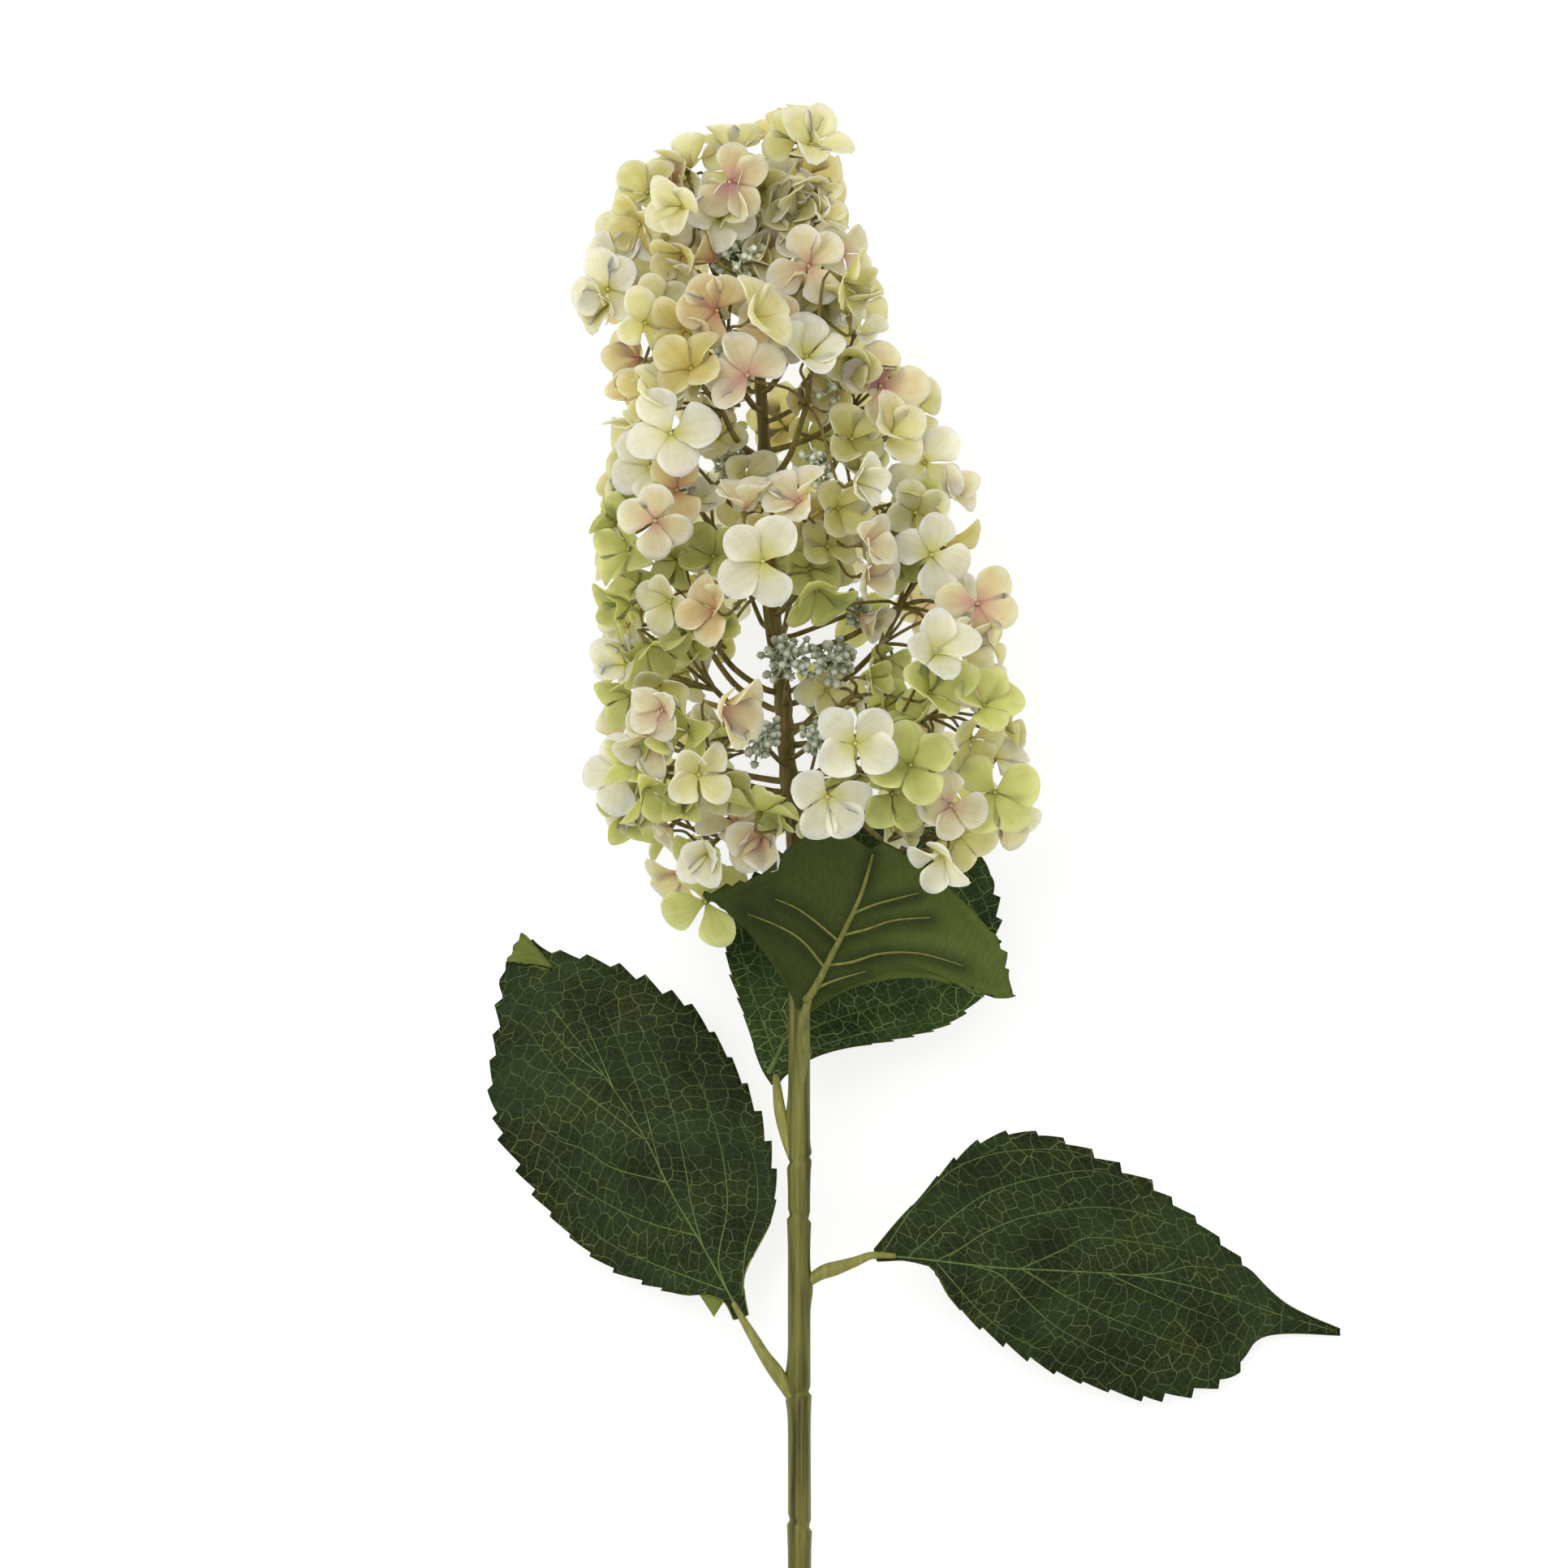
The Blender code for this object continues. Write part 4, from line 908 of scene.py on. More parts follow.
def turned_corner():
    """A small sheet from the fold line, its first two points, to the tip of the corner."""
    bm = bmesh.new()
    bmesh.ops.create_grid(bm, x_segments=4, y_segments=4, size=1.0)
    for vertex in bm.verts:
        along, over = (vertex.co.y + 1) / 2, (vertex.co.x + 1) / 2
        low = Vector(BASE_FOLD[0]).lerp(Vector(BASE_FOLD[1]), over)
        sag = CORNER_SAG * math.sin(math.pi * along)
        vertex.co = low.lerp(Vector(BASE_FOLD[2]), along) - Vector((0, 0, sag))
    return bm


print("fold line: %.1f mm" % (Vector(BASE_FOLD[1]) - Vector(BASE_FOLD[0])).length)

# %% Leaf stalks and ribs
# Points of each stalk, from inside the stem to the blade, with its radius there.
LEAF_STALKS = {
    "left": ((0.0, 172, 0, 1.2), (-3.6, 178.5, 0.5, 2.0), (-7.2, 184.5, 0.5, 2.5),
             (-11.5, 190.5, -0.5, 2.0), (-15.5, 197, -2.5, 1.7), (-18.8, 202.4, -3.9, 1.3),
             (-22, 208, -5.6, 0.9)),
    "right": ((0.0, 213, 0.5, 1.4), (4.0, 216, 0.5, 2.0), (7.8, 218.4, 0.5, 2.5), (13, 220, 0, 2.0),
              (19, 222, -1, 1.5), (24.3, 223.9, -1.9, 1.2), (32, 223.6, -3.6, 0.9)),
    "front": ((1.0, 281, 2.4, 0.9), (1.1, 288, 4.2, 1.8), (1.2, 296, 6.2, 1.95), (1.5, 303, 9.2, 1.75),
              (3.3, 310, 12.6, 1.2)),
    "back": ((-1.5, 254, 0, 1.2), (-4.2, 262, 0, 1.6), (-6.4, 272, -0.6, 2.0), (-7.2, 278, -3.5, 1.7),
             (-7.8, 283.2, -8.3, 1.2)),
}
STALK_STEPS = 30
RIB_RADIUS = 0.9
RIB_DROP = 0.9
RIB_TAPER = 0.6
RIB_START, RIB_SPAN = 0.02, 0.78
RIB_STEPS = 24


def stalk_line(points):
    """A stalk's line: its width runs smoothly through the given radii, as its middle does."""
    line = []
    for k in range(STALK_STEPS + 1):
        spot = on_curve([p[:3] for p in points], k / STALK_STEPS)
        width = on_curve([(p[3], i, 0) for i, p in enumerate(points)], k / STALK_STEPS).x
        line.append((spot, width))
    return line


def rib_line(leaf):
    """The line of the rib under a blade, from its base up, getting thinner."""
    line = []
    for k in range(RIB_STEPS + 1):
        t = RIB_START + RIB_SPAN * k / RIB_STEPS
        under = blade_normal(leaf, t, 0.0) * -(RIB_RADIUS + RIB_DROP)
        line.append((blade_point(leaf, t, 0.0) + under, RIB_RADIUS * (1 - RIB_TAPER * k / RIB_STEPS)))
    return line


for name, leaf in LEAVES.items():
    plain_face = name == "front"
    if name == "left":
        finish_piece("turned_corner_left", turned_corner(), [pale_back], ["leaf_left"],
                     wall=CORNER_WALL)
    bm = bmesh.new()
    add_tubes(bm, vein_threads(name), 6)
    thread = rib_thread if plain_face else vein_thread
    finish_piece("veins_" + name, bm, [thread], ["leaf_" + name])

    bm = bmesh.new()
    add_tubes(bm, [stalk_line(LEAF_STALKS[name])], 12)
    if not plain_face:
        add_tubes(bm, [rib_line(leaf)], 8)
    plastic = rib_thread if plain_face else young_plastic
    finish_piece("leaf_stalk_" + name + "_moulded", bm, [plastic], ["leaf_stalk_" + name])
print("leaf stalks:", ", ".join(LEAF_STALKS))

# %% [markdown]
# ## Reading the florets' places
# In the solid model a floret is a fan of triangles on a flat hub. The middle of the fan stands
# 1.2 mm above its four notches, which lie between the petals, so each floret's place, facing,
# turn and size can be read from those notches. They could be typed in once more, but places that
# are read stay right when a solid moves.

# %% Read the florets
HUB_THICKNESS = 1.2
NOTCH_REACH = 0.48  # of a petal's length
MERGE_DISTANCE = 0.002
# A hub's middle has many edges, most of them long. Those that go down by the hub's thickness
# end at its notches.
FAN_EDGES = 12
LONG_EDGES = 8
LONG_EDGE = 9.5
NEAREST_NOTCH = 4.0
DEPTH_MARGIN = 0.2


class Floret:
    """Where a floret is, in the plant's frame, the way it faces, its turn and its petal length."""

    def __init__(self, notches, outward):
        across = (notches[0] - notches[1]).cross(notches[0] - notches[2]).normalized()
        self.facing = across if across.dot(outward) > 0 else -across
        self.centre = sum(notches, Vector()) / 4
        spokes = [notch - self.centre for notch in notches]
        self.size = sum(spoke.length for spoke in spokes) / 4 / NOTCH_REACH
        self.side = spokes[0].normalized()
        self.up = self.facing.cross(self.side)


def read_florets(node):
    """The florets of a spray, from the mesh of its solid."""
    bm = bmesh.new()
    bm.from_mesh(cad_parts[node].data)
    bmesh.ops.transform(bm, matrix=TO_PLANT, verts=bm.verts)
    bmesh.ops.remove_doubles(bm, verts=bm.verts, dist=MERGE_DISTANCE)
    found = []
    for vertex in bm.verts:
        if len(vertex.link_edges) < FAN_EDGES:
            continue
        outward = sum((face.normal * face.calc_area() for face in vertex.link_faces), Vector()).normalized()
        notches = []
        for edge in vertex.link_edges:
            spoke = edge.other_vert(vertex).co - vertex.co
            depth = spoke.dot(outward)
            at_notch = abs(depth + HUB_THICKNESS) < DEPTH_MARGIN
            if at_notch and (spoke - outward * depth).length > NEAREST_NOTCH:
                notches.append(vertex.co + spoke)
        long_edges = sum(1 for edge in vertex.link_edges if edge.calc_length() > LONG_EDGE)
        if len(notches) == 4 and long_edges >= LONG_EDGES:
            found.append(Floret(notches, outward))
    bm.free()
    return found


spray_names = ["spray_%02d" % number for number in range(1, len(FORKS) + 1)]
sprays = {name: read_florets(name) for name in spray_names}
print("florets read:", sum(len(florets) for florets in sprays.values()))

# %% [markdown]
# ## The outline of the head
# In the solid model every floret is a plain fan, a little wider than its petals. Those at the
# sides and below are moved in by a few millimetres where their petals would pass the outline of
# the head, which is measured every eight millimetres up the stem. A few others go back, behind the
# front leaf. Moving whole florets keeps them whole, where cutting petals at the outline would show.

# %% The outline of the head
OUTLINE_STEP = 8
HEAD_OUTLINE = (
    # height, left edge, right edge
    (346, -46, 66), (354, -50, 66), (362, -62, 78), (370, -68, 78), (378, -71, 79), (386, -72, 79),
    (394, -68, 76), (402, -67, 71), (410, -65, 72), (418, -65, 67), (426, -67, 64), (434, -67, 71),
    (442, -62, 72), (450, -62, 70), (458, -68, 59), (466, -66, 53), (474, -63, 52), (482, -62, 56),
    (490, -61, 55), (498, -65, 55), (506, -64, 47), (514, -65, 48), (522, -61, 37), (530, -64, 25),
    (538, -76, 36), (546, -77, 24), (554, -73, 24), (562, -72, 22), (570, -62, 14), (578, -62, 13),
    (586, -55, 14), (594, -48, 18), (602, -10, 16),
)
HEAD_TOP = 604.0
HEAD_LOW_LEFT = 362.0
LOW_LEFT_END = -40  # left of this, no floret reaches below HEAD_LOW_LEFT
PETAL_SPREAD = 1.03  # how far a floret reaches from its middle, in petal lengths
OUTER_PETALS = 0.6
OUTER_SPREAD = 0.8
LEAST_SEEN = 0.15  # of the square of a floret's width, where it is seen from its edge


def edge_at(y, column):
    """The head's left edge (column 1) or right edge (column 2) at height y."""
    y = min(max(y, HEAD_OUTLINE[0][0]), HEAD_OUTLINE[-1][0] - 0.01)
    index = int((y - HEAD_OUTLINE[0][0]) // OUTLINE_STEP)
    share = (y - HEAD_OUTLINE[index][0]) / OUTLINE_STEP
    return HEAD_OUTLINE[index][column] * (1 - share) + HEAD_OUTLINE[index + 1][column] * share


def keep_in_outline(floret, most):
    """Move a floret in, by at most the given distance, where its petals pass the outline."""
    centre, facing = floret.centre, floret.facing
    reach = PETAL_SPREAD * floret.size * math.sqrt(max(1 - facing.x**2, LEAST_SEEN))
    levels = [(centre.y + OUTER_PETALS * up * floret.size, reach * (OUTER_SPREAD if up else 1.0))
              for up in (-1, 0, 1)]
    past_left = max(edge_at(y, 1) - (centre.x - r) for y, r in levels)
    past_right = max(centre.x + r - edge_at(y, 2) for y, r in levels)
    centre.x += min(max(past_left, 0.0), most) - min(max(past_right, 0.0), most)
    rise = floret.size * math.sqrt(max(1 - facing.y**2, LEAST_SEEN))
    centre.y -= min(max(centre.y + rise - HEAD_TOP, 0.0), most)
    if centre.x < LOW_LEFT_END:
        centre.y += min(max(HEAD_LOW_LEFT - (centre.y - rise), 0.0), most)


print("the head is %.0f mm high" % (HEAD_TOP - HEAD_OUTLINE[0][0]))

# %% Move the open florets clear of the front leaf and into the outline
# Place, reach and move of the florets that sit behind the front leaf.
BEHIND_LEAF = (((-7, 359), 4, (-5.0, 5.0, -14.0)), ((-33, 350), 11, (0.0, 0.0, -13.0)))
TOP_MOVE = 6.5
OTHER_MOVE = 12.0


def apart(floret, x, y):
    """How far a floret's middle is from a place, seen from above."""
    return math.hypot(floret.centre.x - x, floret.centre.y - y)


everyone = [floret for florets in sprays.values() for floret in florets]
for floret in everyone:
    floret.spot = floret.centre.copy()
    for (x, y), reach, move in BEHIND_LEAF:
        if floret.centre.z > 0 and apart(floret, x, y) < reach:
            floret.centre += Vector(move)
    faces_up = floret.facing.z > 0.5 and floret.centre.z > 0
    keep_in_outline(floret, TOP_MOVE if faces_up else OTHER_MOVE)
print("moved by more than 5 mm:", sum((f.centre - f.spot).length > 5 for f in everyone))

# %% [markdown]
# ## Half-open florets between the others
# Behind the open florets sit smaller ones that have only half opened. They close the head up and
# are too light to matter to how it lies, so the solid model leaves them out. Some places are
# chosen, and for the rest each spray tries places near its fork, from a seeded generator, and
# keeps those that are clear of every other floret and not in front of one.

# %% The places that are chosen
FILLED_SPOTS = (
    (3, 572), (-13, 567), (-2, 569), (-44, 561), (-27, 553), (-15, 549), (-9, 560), (-38, 534),
    (24, 529), (38, 518), (14, 512), (-27, 505), (1, 506), (-27, 495), (-38, 483), (-54, 477), (9, 471),
    (39, 471), (-3, 465), (-30, 458), (-56, 455), (3, 452), (-56, 433), (-57, 420), (9, 412), (27, 405),
    (-52, 374), (-21, 368), (45, 364), (47, 505), (50, 478), (-62, 540), (-12, 579), (4, 582),
    (-42, 580), (-27, 568), (-60, 466), (-52, 372), (-5, 577), (-20, 574), (2, 560), (-12, 555),
    (-25, 545), (-5, 543), (-36, 548), (-50, 548), (-56, 562), (20, 484), (30, 455), (-18, 482),
    (55, 415), (66, 400), (51, 441), (62, 430), (8, 536), (-36, 582), (-22, 584), (14, 575),
)
OUTLINE_MOVE = 15.0
chance = random.Random(11)


def random_way():
    return Vector([chance.gauss(0, 1) for _ in range(3)]).normalized()


def half_open(spot, facing, size):
    """A floret that is in the finished look only."""
    floret = Floret.__new__(Floret)
    floret.facing, floret.centre, floret.size = facing.normalized(), spot, size
    floret.side = floret.facing.cross(random_way()).normalized()
    floret.up = floret.facing.cross(floret.side)
    keep_in_outline(floret, OUTLINE_MOVE)
    return floret


print("chosen places:", len(FILLED_SPOTS))

# %% Half-open florets at the chosen places
FILLED_REACH = 13
FILLED_DROP = 5.0
FILLED_DEPTHS = (-8.0, 26.0)
OPEN_DEPTH = 14.0
FILLED_SIZES = (10.5, 13.0)
FILLED_LEAN = 0.45

added = []
for x, y in FILLED_SPOTS:
    near = [f.centre.z for f in everyone if f.centre.z > -4 and apart(f, x, y) < FILLED_REACH]
    z = min(max(min(near, default=OPEN_DEPTH) - FILLED_DROP, FILLED_DEPTHS[0]), FILLED_DEPTHS[1])
    spot = Vector((x, y, z))
    facing = Vector((0.02 * x, 0.1, 1.0)) + random_way() * FILLED_LEAN
    floret = half_open(spot, facing, chance.uniform(*FILLED_SIZES))
    closest = min(range(len(FORKS)), key=lambda k: (Vector(FORKS[k][:3]) - spot).length)
    sprays[spray_names[closest]].append(floret)
    added.append(floret)
everyone += added
print("placed:", len(added))

# %% Half-open florets near each fork
HALF_OPEN_TRIES = 60
HALF_OPEN_PER_SPRAY = 2
HALF_OPEN_SIZES = (9.0, 12.0)
HALF_OPEN_LEAN = 0.7
CLEARANCE = 8.0
HIDDEN_REACH = 9
HIDDEN_DROP = 2


def open_window(point):
    """The places where the axis and its branches can be seen between the florets."""
    return -24 < point.x < 14 and (376 < point.y < 446 or 474 < point.y < 508) and point.z > -6


for name, fork in zip(spray_names, FORKS):
    kept = 0
    for _ in range(HALF_OPEN_TRIES):
        size = chance.uniform(*HALF_OPEN_SIZES)
        spot = Vector(fork[:3]) + random_way() * chance.uniform(8, 20)
        outward = Vector((spot.x + 10.0, 0.15 * (spot.y - 470), spot.z)).normalized()
        clear = all((f.centre - spot).length > CLEARANCE for f in everyone)
        behind = all(spot.z < f.centre.z - HIDDEN_DROP for f in everyone
                     if f.centre.z > 0 and apart(f, spot.x, spot.y) < HIDDEN_REACH)
        if kept < HALF_OPEN_PER_SPRAY and clear and behind and not open_window(spot):
            floret = half_open(spot, outward + random_way() * HALF_OPEN_LEAN, size)
            sprays[name].append(floret)
            added.append(floret)
            everyone.append(floret)
            kept += 1
print("half-open florets:", len(added))

# %% [markdown]
# ## The tints of the florets
# Each floret was dyed by hand in one of a few recipes: a heart, a body and a rim colour. The tip
# of the head is cream and ochre with peach hearts, the lower sides are lime, and white florets
# stand among them. The florets that face up have their recipe chosen one by one, by their place
# on the head. The others follow the same trend by chance, from a seeded generator.

# %% Dye recipes and where they go
RECIPES = {
    "white": ("#c2ba5c", "#e2dbad", "#f1edcd"),
    "cream": ("#b5a84e", "#dacf8c", "#ede6bc"),
    "ochre": ("#a88c3c", "#ccb667", "#e1d5a2"),
    "olive": ("#948b3a", "#bab266", "#d8d3a4"),
    "lime": ("#868c38", "#abaf58", "#cbce84"),
    "green": ("#636b2c", "#8d9446", "#b5ba6e"),
    "peach": ("#b17058", "#cfac74", "#e4d6a8"),
    "blush": ("#bf8376", "#d6c490", "#ebe4c4"),
    "pink": ("#c47c78", "#cfb383", "#e0d8ac"),
}
PLACED_TINTS = {
    "white": ((-12, 453), (18, 394), (9, 377), (2, 520), (-63, 544), (-42, 495), (-49, 485), (44, 423),
              (45, 456), (42, 487), (-62, 384), (-30, 358), (17, 479), (-60, 552), (64, 389), (47, 358)),
    "cream": ((4, 595), (0, 581), (-38, 570), (-51, 532), (-46, 538), (-15, 533), (38, 470), (29, 495),
              (-55, 497), (-47, 507), (-42, 441), (-37, 583), (-22, 588), (52, 426), (-33, 384), (6, 567)),
    "ochre": ((-38, 556), (-38, 530), (-42, 522), (-35, 516), (-48, 509), (-52, 566), (-9, 468)),
    "olive": ((-6, 595), (-52, 576), (20, 522), (14, 546), (8, 541), (23, 534), (-44, 516), (17, 494),
              (-58, 487), (12, 471), (9, 458), (-46, 412), (56, 396), (52, 364), (-22, 381)),
    "peach": ((-27, 536), (-40, 477), (-27, 437), (-62, 510), (-9, 530)),
    "blush": ((3, 551), (-17, 514), (0, 472), (-47, 467), (-18, 469), (49, 374), (-7, 359), (-48, 396),
              (-44, 405), (20, 459), (14, 556), (20, 449)),
    "pink": ((-23, 579), (33, 512), (58, 440), (-27, 406)),
    "lime": ((-56, 458), (-55, 446), (-50, 380), (-36, 342), (-36, 398), (64, 378), (61, 406), (42, 410),
             (-13, 371), (-56, 472), (-28, 428), (-53, 387), (36, 387)),
    "green": ((-57, 440), (-50, 427), (-54, 419), (-57, 410), (-38, 430), (-40, 455), (-28, 455), (5, 445),
              (32, 458), (30, 378), (40, 401), (-42, 383), (-38, 379), (-56, 372), (-59, 466)),
}
TREND = (
    (500.0, ("cream", "ochre", "olive", "peach", "cream", "white")),
    (440.0, ("cream", "blush", "white", "olive", "lime", "ochre")),
    (0.0, ("lime", "green", "lime", "cream", "white", "olive", "blush")),
)

TINT_REACH = 4.0


def choose_tint(floret):
    """The recipe placed at an open floret that faces up, or else one by chance, by its height."""
    floret.placed = False
    if floret not in added and floret.facing.z > -0.2 and floret.spot.z > 0:
        distance, tint = min(
            (math.hypot(x - floret.spot.x, y - floret.spot.y), tint)
            for tint, spots in PLACED_TINTS.items() for x, y in spots)
        floret.placed = distance < TINT_REACH
    if floret.placed:
        return tint
    return next(chance.choice(tints) for height, tints in TREND if floret.centre.y > height)


for florets in sprays.values():
    for floret in florets:
        floret.tint = choose_tint(floret)
print("recipes:", ", ".join(RECIPES))

# %% [markdown]
# ## Petals
# A petal is a small sheet of cloth, almost round, that narrows to a claw at the heart. The mould
# gives it a cup and a lift, and no two are quite alike. It could be one shape copied four times,
# but the eye finds copies at once, so every petal draws its own small differences in length,
# lift, cup, curl and turn from a seeded generator. Whole florets differ too: some are wide open
# and others half closed, and each leans its own way. A square grid becomes a disc when each of
# its two coordinates is shortened by the other, which keeps the rim smooth with few faces.

# %% The directions of petals
# In degrees from the right, for the florets that stand out. The others have theirs by chance.
PETAL_ANGLES = {
    (-12, 453): (58, 139, 218, 290), (18, 394): (43, 137, 218, 335), (9, 377): (12, 146, 247, 304),
    (58, 440): (55, -16, 174, 281), (49, 374): (110, -14, 250, 180), (33, 512): (0, 95, 158, 270),
    (-23, 579): (27, 82, 230, 306), (45, 456): (81, -18, 272, 165), (-42, 495): (10, 121, 200, 285),
    (-40, 477): (60, 117, 293, 200), (-47, 467): (82, 159, 270, 349), (-36, 342): (196, 297, 39, 95),
    (-62, 384): (90, 180, 259, 22), (36, 387): (27, 104, 194, 294), (64, 378): (20, 140, 231, 308),
    (-27, 536): (69, 120, 254, 180), (-17, 514): (34, 113, 186, 231), (3, 551): (45, 102, 204, 301),
    (-63, 544): (104, 196, 322, 40), (-46, 538): (112, 28, 222, 312),
}
ANGLE_REACH = 3.5
ANGLE_SPREAD = (-14, 14)


def placed_petals(floret):
    """The directions set down for a floret's petals, or None."""
    for (x, y), angles in PETAL_ANGLES.items():
        if floret.placed and math.hypot(x - floret.spot.x, y - floret.spot.y) < ANGLE_REACH:
            return sorted(angle % 360 for angle in angles)
    return None


def petal_direction(floret, number):
    """The way a petal points, square to the way its floret faces."""
    if floret.petals:
        angle = math.radians(floret.petals[number])
        radial = Vector((math.cos(angle), math.sin(angle), 0.0))
        return (radial - floret.facing * radial.dot(floret.facing)).normalized()
    angle = math.radians(45.0 + 90.0 * number + chance.uniform(*ANGLE_SPREAD))
    return floret.side * math.cos(angle) + floret.up * math.sin(angle)


print("florets with set petals:", len(PETAL_ANGLES))

# %% The form of a floret
CLEAR_TINTS = ("white", "pink", "blush", "peach")  # their body takes hardly any of the heart's dye
DEEPEST = 0.28
DEEPEST_CLEAR = 0.08
FLORET_LEAN = 0.48
OPEN_CLOSING = (0, 12)
CLOSINGS = (8, 18, 28, 38, 50)
CLOSING_SPREAD = (8, 54)
BREADTH = (0.45, 0.51)
NARROW_SIDE = -36
NARROW_BREADTH = (0.33, 0.42)
NARROW_POINTED = 0.35
NARROW_CLOSING = 14


def shape_floret(floret):
    """How far a floret is closed, how it leans, and how broad and pointed its petals are."""
    floret.petals = placed_petals(floret)
    if floret.petals:
        floret.closing = chance.uniform(*OPEN_CLOSING)
    else:
        floret.closing = chance.choice(CLOSINGS) if floret.placed else chance.uniform(*CLOSING_SPREAD)
        floret.facing = (floret.facing + random_way() * FLORET_LEAN).normalized()
    floret.side = (floret.side - floret.facing * floret.side.dot(floret.facing)).normalized()
    floret.up = floret.facing.cross(floret.side)
    floret.breadth = chance.uniform(*BREADTH)
    floret.pointed = 0.0
    if floret.tint in ("lime", "green") and floret.centre.x < NARROW_SIDE and not floret.petals:
        floret.breadth = chance.uniform(*NARROW_BREADTH)
        floret.pointed = NARROW_POINTED
        floret.closing += NARROW_CLOSING


print("tilt given by chance: up to about %.0f degrees" % math.degrees(math.atan(FLORET_LEAN)))

# %% One petal
PETAL_COLUMNS = 6
PETAL_ROWS = 7
CLAW_WIDTH = 0.26
# What each petal draws for itself: lengths in petal lengths, and angles in degrees.
LENGTH = (0.98, 1.12)
WIDTH = (0.9, 1.1)
LIFT = (-8, 14)
CURL = (-0.20, 0.05)
CURL_OF_CLOSED = 0.004
CUP = (0.05, 0.32)
TURN = (-16, 16)
SHADE = (0.94, 1.03)
HEART_REACH = (0.35, 0.70)
PINK_HEART_REACH = (0.45, 0.8)
RIM_SHARE = 0.85


def mixed(a, b, share):
    return [p + (q - p) * share for p, q in zip(a, b)]


def petal_outline(side, along):
    """Sideways and lengthwise place on a petal of length 1, from a grid that runs from -1 to 1."""
    wide = side * math.sqrt(1 - along * along / 2)
    long = (1 + along * math.sqrt(1 - side * side / 2)) / 2
    claw = CLAW_WIDTH + (1 - CLAW_WIDTH) * ease(0.0, 0.60, long)
    return wide * claw, long


def petal_tone(recipe, heart_reach, side, wide, long):
    """The dye at a place on a petal: heart, then body, then rim."""
    heart, body, rim = recipe
    edge = ease(0.38, 1.0, max(abs(side) * 0.95, 2 * long - 1)) * ease(0.25, 0.6, long)
    tone = mixed(heart, body, ease(0.05, heart_reach, long + 0.15 * abs(wide)))
    return mixed(tone, rim, RIM_SHARE * edge)


def add_petal(bm, layers, floret, number, recipe):
    """One petal, drawn a little different from every other."""
    radial = petal_direction(floret, number)
    length = floret.size * chance.uniform(*LENGTH)
    half_width = floret.breadth * floret.size * chance.uniform(*WIDTH)
    lift = math.radians(floret.closing + chance.uniform(*LIFT))
    curl = chance.uniform(*CURL) - CURL_OF_CLOSED * floret.closing
    cup = chance.uniform(*CUP)
    turn = math.radians(chance.uniform(*TURN))
    wave = chance.uniform(0, 6.28)
    shade = chance.uniform(*SHADE)
    pink_heart = floret.tint in ("pink", "blush", "peach")
    heart_reach = chance.uniform(*(PINK_HEART_REACH if pink_heart else HEART_REACH))
    out = radial * math.cos(lift) + floret.facing * math.sin(lift)
    normal = floret.facing * math.cos(lift) - radial * math.sin(lift)
    across = normal.cross(out)
    across, normal = (across * math.cos(turn) + normal * math.sin(turn),
                      normal * math.cos(turn) - across * math.sin(turn))
    start = floret.centre + floret.facing * (0.5 + 0.4 * (number % 2))
    seed = chance.uniform(0, 50)
    sheet = bmesh.ops.create_grid(bm, x_segments=PETAL_COLUMNS, y_segments=PETAL_ROWS, size=1.0)
    for vertex in sheet["verts"]:
        side = vertex.co.x
        wide, long = petal_outline(side, vertex.co.y)
        rise = 0.10 * long + curl * long**2.5 + cup * wide**2 * ease(0.0, 0.45, long)
        rise += 0.03 * math.sin(5.5 * long + wave) * side + 0.02 * math.cos(9 * side + wave) * long
        wide *= 1 - floret.pointed * ease(0.45, 1.0, long)
        vertex.co = start + out * (length * long) + across * (half_width * wide) + normal * (rise * length)
        tone = petal_tone(recipe, heart_reach, side, wide, long)
        vertex[layers["dye"]] = [c * shade for c in tone[:3]] + [1.0]
        vertex[layers["petal"]] = (side, long, seed)


print("faces of a petal:", PETAL_COLUMNS * PETAL_ROWS)

# %% All florets
PETAL_WALL = 0.18

for name, florets in sprays.items():
    bm = bmesh.new()
    layers = {
        "dye": bm.verts.layers.float_color.new("dye"),
        "petal": bm.verts.layers.float_vector.new("petal"),
    }
    for floret in florets:
        recipe = [colour(code) for code in RECIPES[floret.tint]]
        deepest = DEEPEST_CLEAR if floret.tint in CLEAR_TINTS else DEEPEST
        recipe[1] = mixed(recipe[1], recipe[0], chance.uniform(0.0, deepest))
        shape_floret(floret)
        for number in range(4):
            add_petal(bm, layers, floret, number, recipe)
    finish_piece(name + "_florets", bm, [petal_cloth], [name], wall=PETAL_WALL)
print("petals:", 4 * sum(len(florets) for florets in sprays.values()))

# %% [markdown]
# ## Branches and thin stalks
# Every spray grows from the axis on a branch that turns up and out to its fork. From there a thin
# stalk bends to each floret, meets it square from behind, and widens to the little cup that
# carries the heart. They are thin moulded rods on the real flower too, so tubes along smooth
# curves give their shape with no more work.

# %% Branches and thin stalks
BRANCH_RADIUS = 1.15
BRANCH_TIP = 0.8
BRANCH_STEPS = 18
KNEE_REACH = 3.0
STALK_RADIUS = 0.5
STALK_FOOT = 1.2
STALKS_FROM = 0.9
FLORET_STALK_STEPS = 12
CUP_RADIUS = 1.1
CUP_RISE = 0.4


def branch_points(fork, foot_y):
    """A branch's foot in the axis, its knee, its bend and its fork."""
    axis, radius = axis_at(foot_y)
    outward = Vector((fork.x - axis.x, 0.0, fork.z)).normalized()
    knee = axis + outward * (radius + KNEE_REACH)
    bend = knee.lerp(fork, 0.45) + Vector((0.0, -0.12 * (fork.y - foot_y), 0.0)) + outward * 2.0
    return [axis + outward * radius * 0.6, knee, bend, fork]


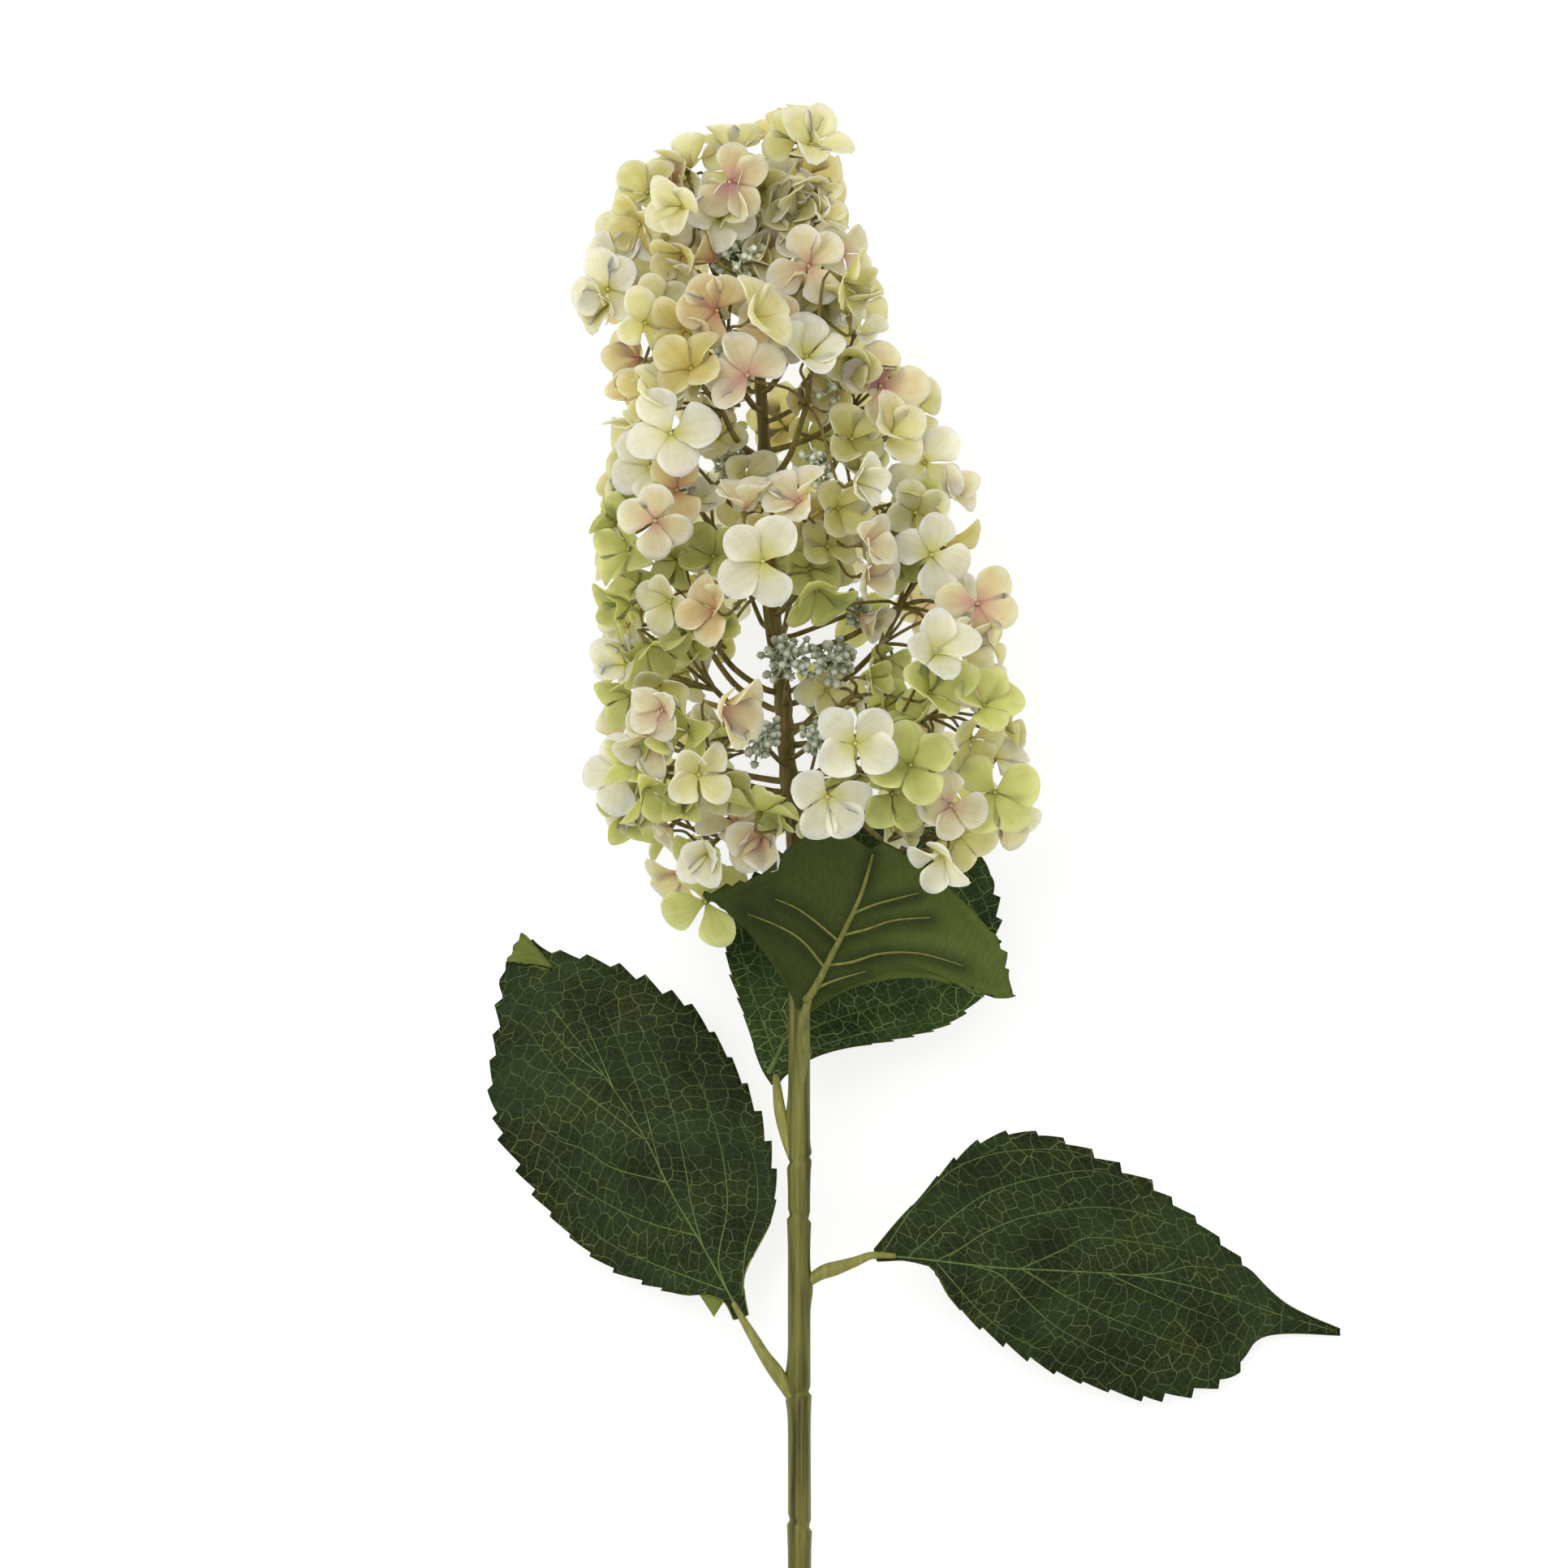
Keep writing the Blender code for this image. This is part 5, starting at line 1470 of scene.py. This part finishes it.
def tapered(points, count, first, last):
    """Points on a smooth curve, with a radius that runs evenly from the first to the last."""
    return [(on_curve(points, k / count), first + (last - first) * k / count) for k in range(count + 1)]


def floret_stalk(branch, fork, floret):
    """The line of a thin stalk from the end of a branch to the cup behind a floret."""
    root = on_curve(branch, STALKS_FROM)
    behind = floret.centre - floret.facing * min(6.0, 0.4 * (floret.centre - fork).length)
    bend = fork.lerp(behind, 0.35) + (fork - root) * 0.4
    line = tapered(
        [root, bend, behind, floret.centre], FLORET_STALK_STEPS, STALK_FOOT * STALK_RADIUS, STALK_RADIUS)
    line[-1] = (floret.centre + floret.facing * CUP_RISE, CUP_RADIUS)
    return line


print("branch: %.1f mm thick, thin stalk: %.1f mm" % (2 * BRANCH_RADIUS, 2 * STALK_RADIUS))

# %% Hearts, and the stalks of every spray
HEART_RADIUS = 0.75
HEART_RISE = 1.1
HEART_SAGE = "#c9c878"


def add_heart(bm, dye_layer, floret):
    """The small bead in the middle of a floret, that pins its petals."""
    tone = mixed(colour(RECIPES[floret.tint][0]), colour(HEART_SAGE), 0.5)
    bead = bmesh.ops.create_icosphere(bm, subdivisions=1, radius=HEART_RADIUS)["verts"]
    for vertex in bead:
        vertex.co = vertex.co + floret.centre + floret.facing * HEART_RISE
        vertex[dye_layer] = tone


for name, (x, y, z, foot_y) in zip(spray_names, FORKS):
    fork = Vector((x, y, z))
    branch = branch_points(fork, foot_y)
    lines = [tapered(branch, BRANCH_STEPS, BRANCH_RADIUS, BRANCH_TIP * BRANCH_RADIUS)]
    hearts = bmesh.new()
    dye_layer = hearts.verts.layers.float_color.new("dye")
    for floret in sprays[name]:
        lines.append(floret_stalk(branch, fork, floret))
        add_heart(hearts, dye_layer, floret)
    bm = bmesh.new()
    add_tubes(bm, lines, 8)
    finish_piece(name + "_stalks", bm, [stalk_plastic], [name])
    finish_piece(name + "_hearts", hearts, [bud_plastic], [name])
print("branches and stalks made")

# %% [markdown]
# ## Bud clusters
# Between the sprays sit clusters of closed buds. Each bud is a small sage bead with a pale tip, on
# a star of short bracts at the end of its own stalk, and together they make a loose dome. The
# beads are spread over the dome by turning each next one through the golden angle, which spaces
# them evenly with no rows.

# %% One bud
SAGE, SAGE_TIP, BRACT = colour("#b3b9a0"), colour("#e0e0d2"), colour("#a9b599")
BEAD_RADIUS = 1.35
BEAD_STRETCH = 0.2
BRACT_RADIUS = 2.9
BRACT_NOTCH = 0.45
BRACT_LIFT = 0.5
BRACT_DROP = 1.0
PALER_TOP = 0.28  # how much paler the buds are at the tip of the head


def add_bud(bm, dye_layer, place, way):
    """A bead with a pale tip on a star of five bracts, paler near the tip of the head."""
    paleness = 1.0 + PALER_TOP * ease(430.0, 500.0, place.y)
    turn = way.to_track_quat("Z", "Y").to_matrix()
    tone = chance.uniform(0.75, 1.0)
    radius = BEAD_RADIUS * chance.uniform(0.8, 1.1)
    bead = bmesh.ops.create_uvsphere(bm, u_segments=8, v_segments=5, radius=radius)
    for vertex in bead["verts"]:
        paler = ease(0.2, 0.95, vertex.co.normalized().z) * tone
        vertex[dye_layer] = [c * paleness for c in mixed(SAGE, SAGE_TIP, paler)]
        vertex.co = place + turn @ (vertex.co + Vector((0, 0, BEAD_STRETCH * vertex.co.z)))
    star = bmesh.ops.create_circle(bm, cap_ends=True, cap_tris=True, segments=10, radius=BRACT_RADIUS)
    for number, vertex in enumerate(sorted(star["verts"], key=lambda v: math.atan2(v.co.y, v.co.x))):
        across = vertex.co.length
        if across > 0.1:
            share = 1.0 if number % 2 else BRACT_NOTCH
            vertex.co = vertex.co * share + Vector((0, 0, BRACT_LIFT * share))
        vertex[dye_layer] = [c * paleness for c in mixed(BRACT, SAGE, 0.6 if across > 0.1 else 0.0)]
        vertex.co = place + turn @ (vertex.co - Vector((0, 0, BRACT_DROP)))


print("a bud is %.1f mm across, its bracts %.1f mm" % (2 * BEAD_RADIUS, 2 * BRACT_RADIUS))

# %% Bud clusters
# Middle of each dome, its radius, and the height at which its branch leaves the axis.
BUD_CLUSTERS = (
    (-22, 557, 20, 9.0, 542), (12, 514, 20, 8.0, 502), (7, 487, 26, 7.0, 472),
    (-25, 488, 8, 7.0, 476), (20, 440, 8, 7.0, 430), (-3, 424, 26, 9.5, 408), (13, 424, 22, 9.0, 412),
    (-14, 398, 26, 8.5, 388), (6, 397, 18, 6.5, 390), (-20, 448, -12, 6.5, 434),
    (10, 410, -22, 7.0, 398), (-26, 528, -10, 6.0, 512),
)
GOLDEN_ANGLE = math.pi * (3 - math.sqrt(5))
BUDS_FOR_AREA = 0.36  # buds for each square millimetre of the radius squared
DOME_DEPTH = 0.55  # how far the hub sits below the middle, in radii
DOME_SPREAD = 1.25  # 1 would be half a ball, 2 a whole one
DOME_WANDER = 0.22
BUD_REACH = (0.6, 1.05)
BUD_STALK = 0.45
BUD_BRANCH_RADII = (0.9, 0.75)


def bud_way(k, count, turn):
    """The direction of bud number k on a dome, by the golden angle and a little chance."""
    spread = math.acos(1 - DOME_SPREAD * (k + 0.5) / count)
    spin = k * GOLDEN_ANGLE
    across = math.sin(spread)
    way = turn @ Vector((across * math.cos(spin), across * math.sin(spin), math.cos(spread)))
    return (way + random_way() * DOME_WANDER).normalized()


for number, (x, y, z, radius, foot_y) in enumerate(BUD_CLUSTERS, start=1):
    middle = Vector((x, y, z))
    axis, axis_radius = axis_at(foot_y)
    outward = Vector((x - axis.x, 0.0, z)).normalized()
    facing = (outward + Vector((0.0, 0.7, 0.0))).normalized()
    turn = facing.to_track_quat("Z", "Y").to_matrix()
    hub = middle - facing * radius * DOME_DEPTH
    knee = axis + outward * (axis_radius + KNEE_REACH)
    way_out = [axis + outward * axis_radius * 0.6, knee, hub - facing * 2.0, hub]
    branch = bmesh.new()
    add_tubes(branch, [tapered(way_out, 12, *BUD_BRANCH_RADII)], 8)
    beads = bmesh.new()
    dye_layer = beads.verts.layers.float_color.new("dye")
    lines = []
    count = round(BUDS_FOR_AREA * radius**2)
    for k in range(count):
        way = bud_way(k, count, turn)
        tip = hub + way * radius * chance.uniform(*BUD_REACH)
        add_bud(beads, dye_layer, tip, way)
        bend = hub.lerp(tip, 0.5) + facing * 0.5
        lines.append([(hub, BUD_STALK), (bend, BUD_STALK), (tip - way, BUD_STALK)])
    bud_vertices = len(beads.verts)
    add_tubes(beads, lines, 6)
    dye_layer = beads.verts.layers.float_color["dye"]
    for vertex in list(beads.verts)[bud_vertices:]:
        vertex[dye_layer] = BRACT
    node = "bud_cluster_%02d" % number
    finish_piece(node + "_buds", beads, [bud_plastic], [node])
    finish_piece(node + "_stalk", branch, [stalk_plastic], [node])
print("bud clusters:", len(BUD_CLUSTERS))
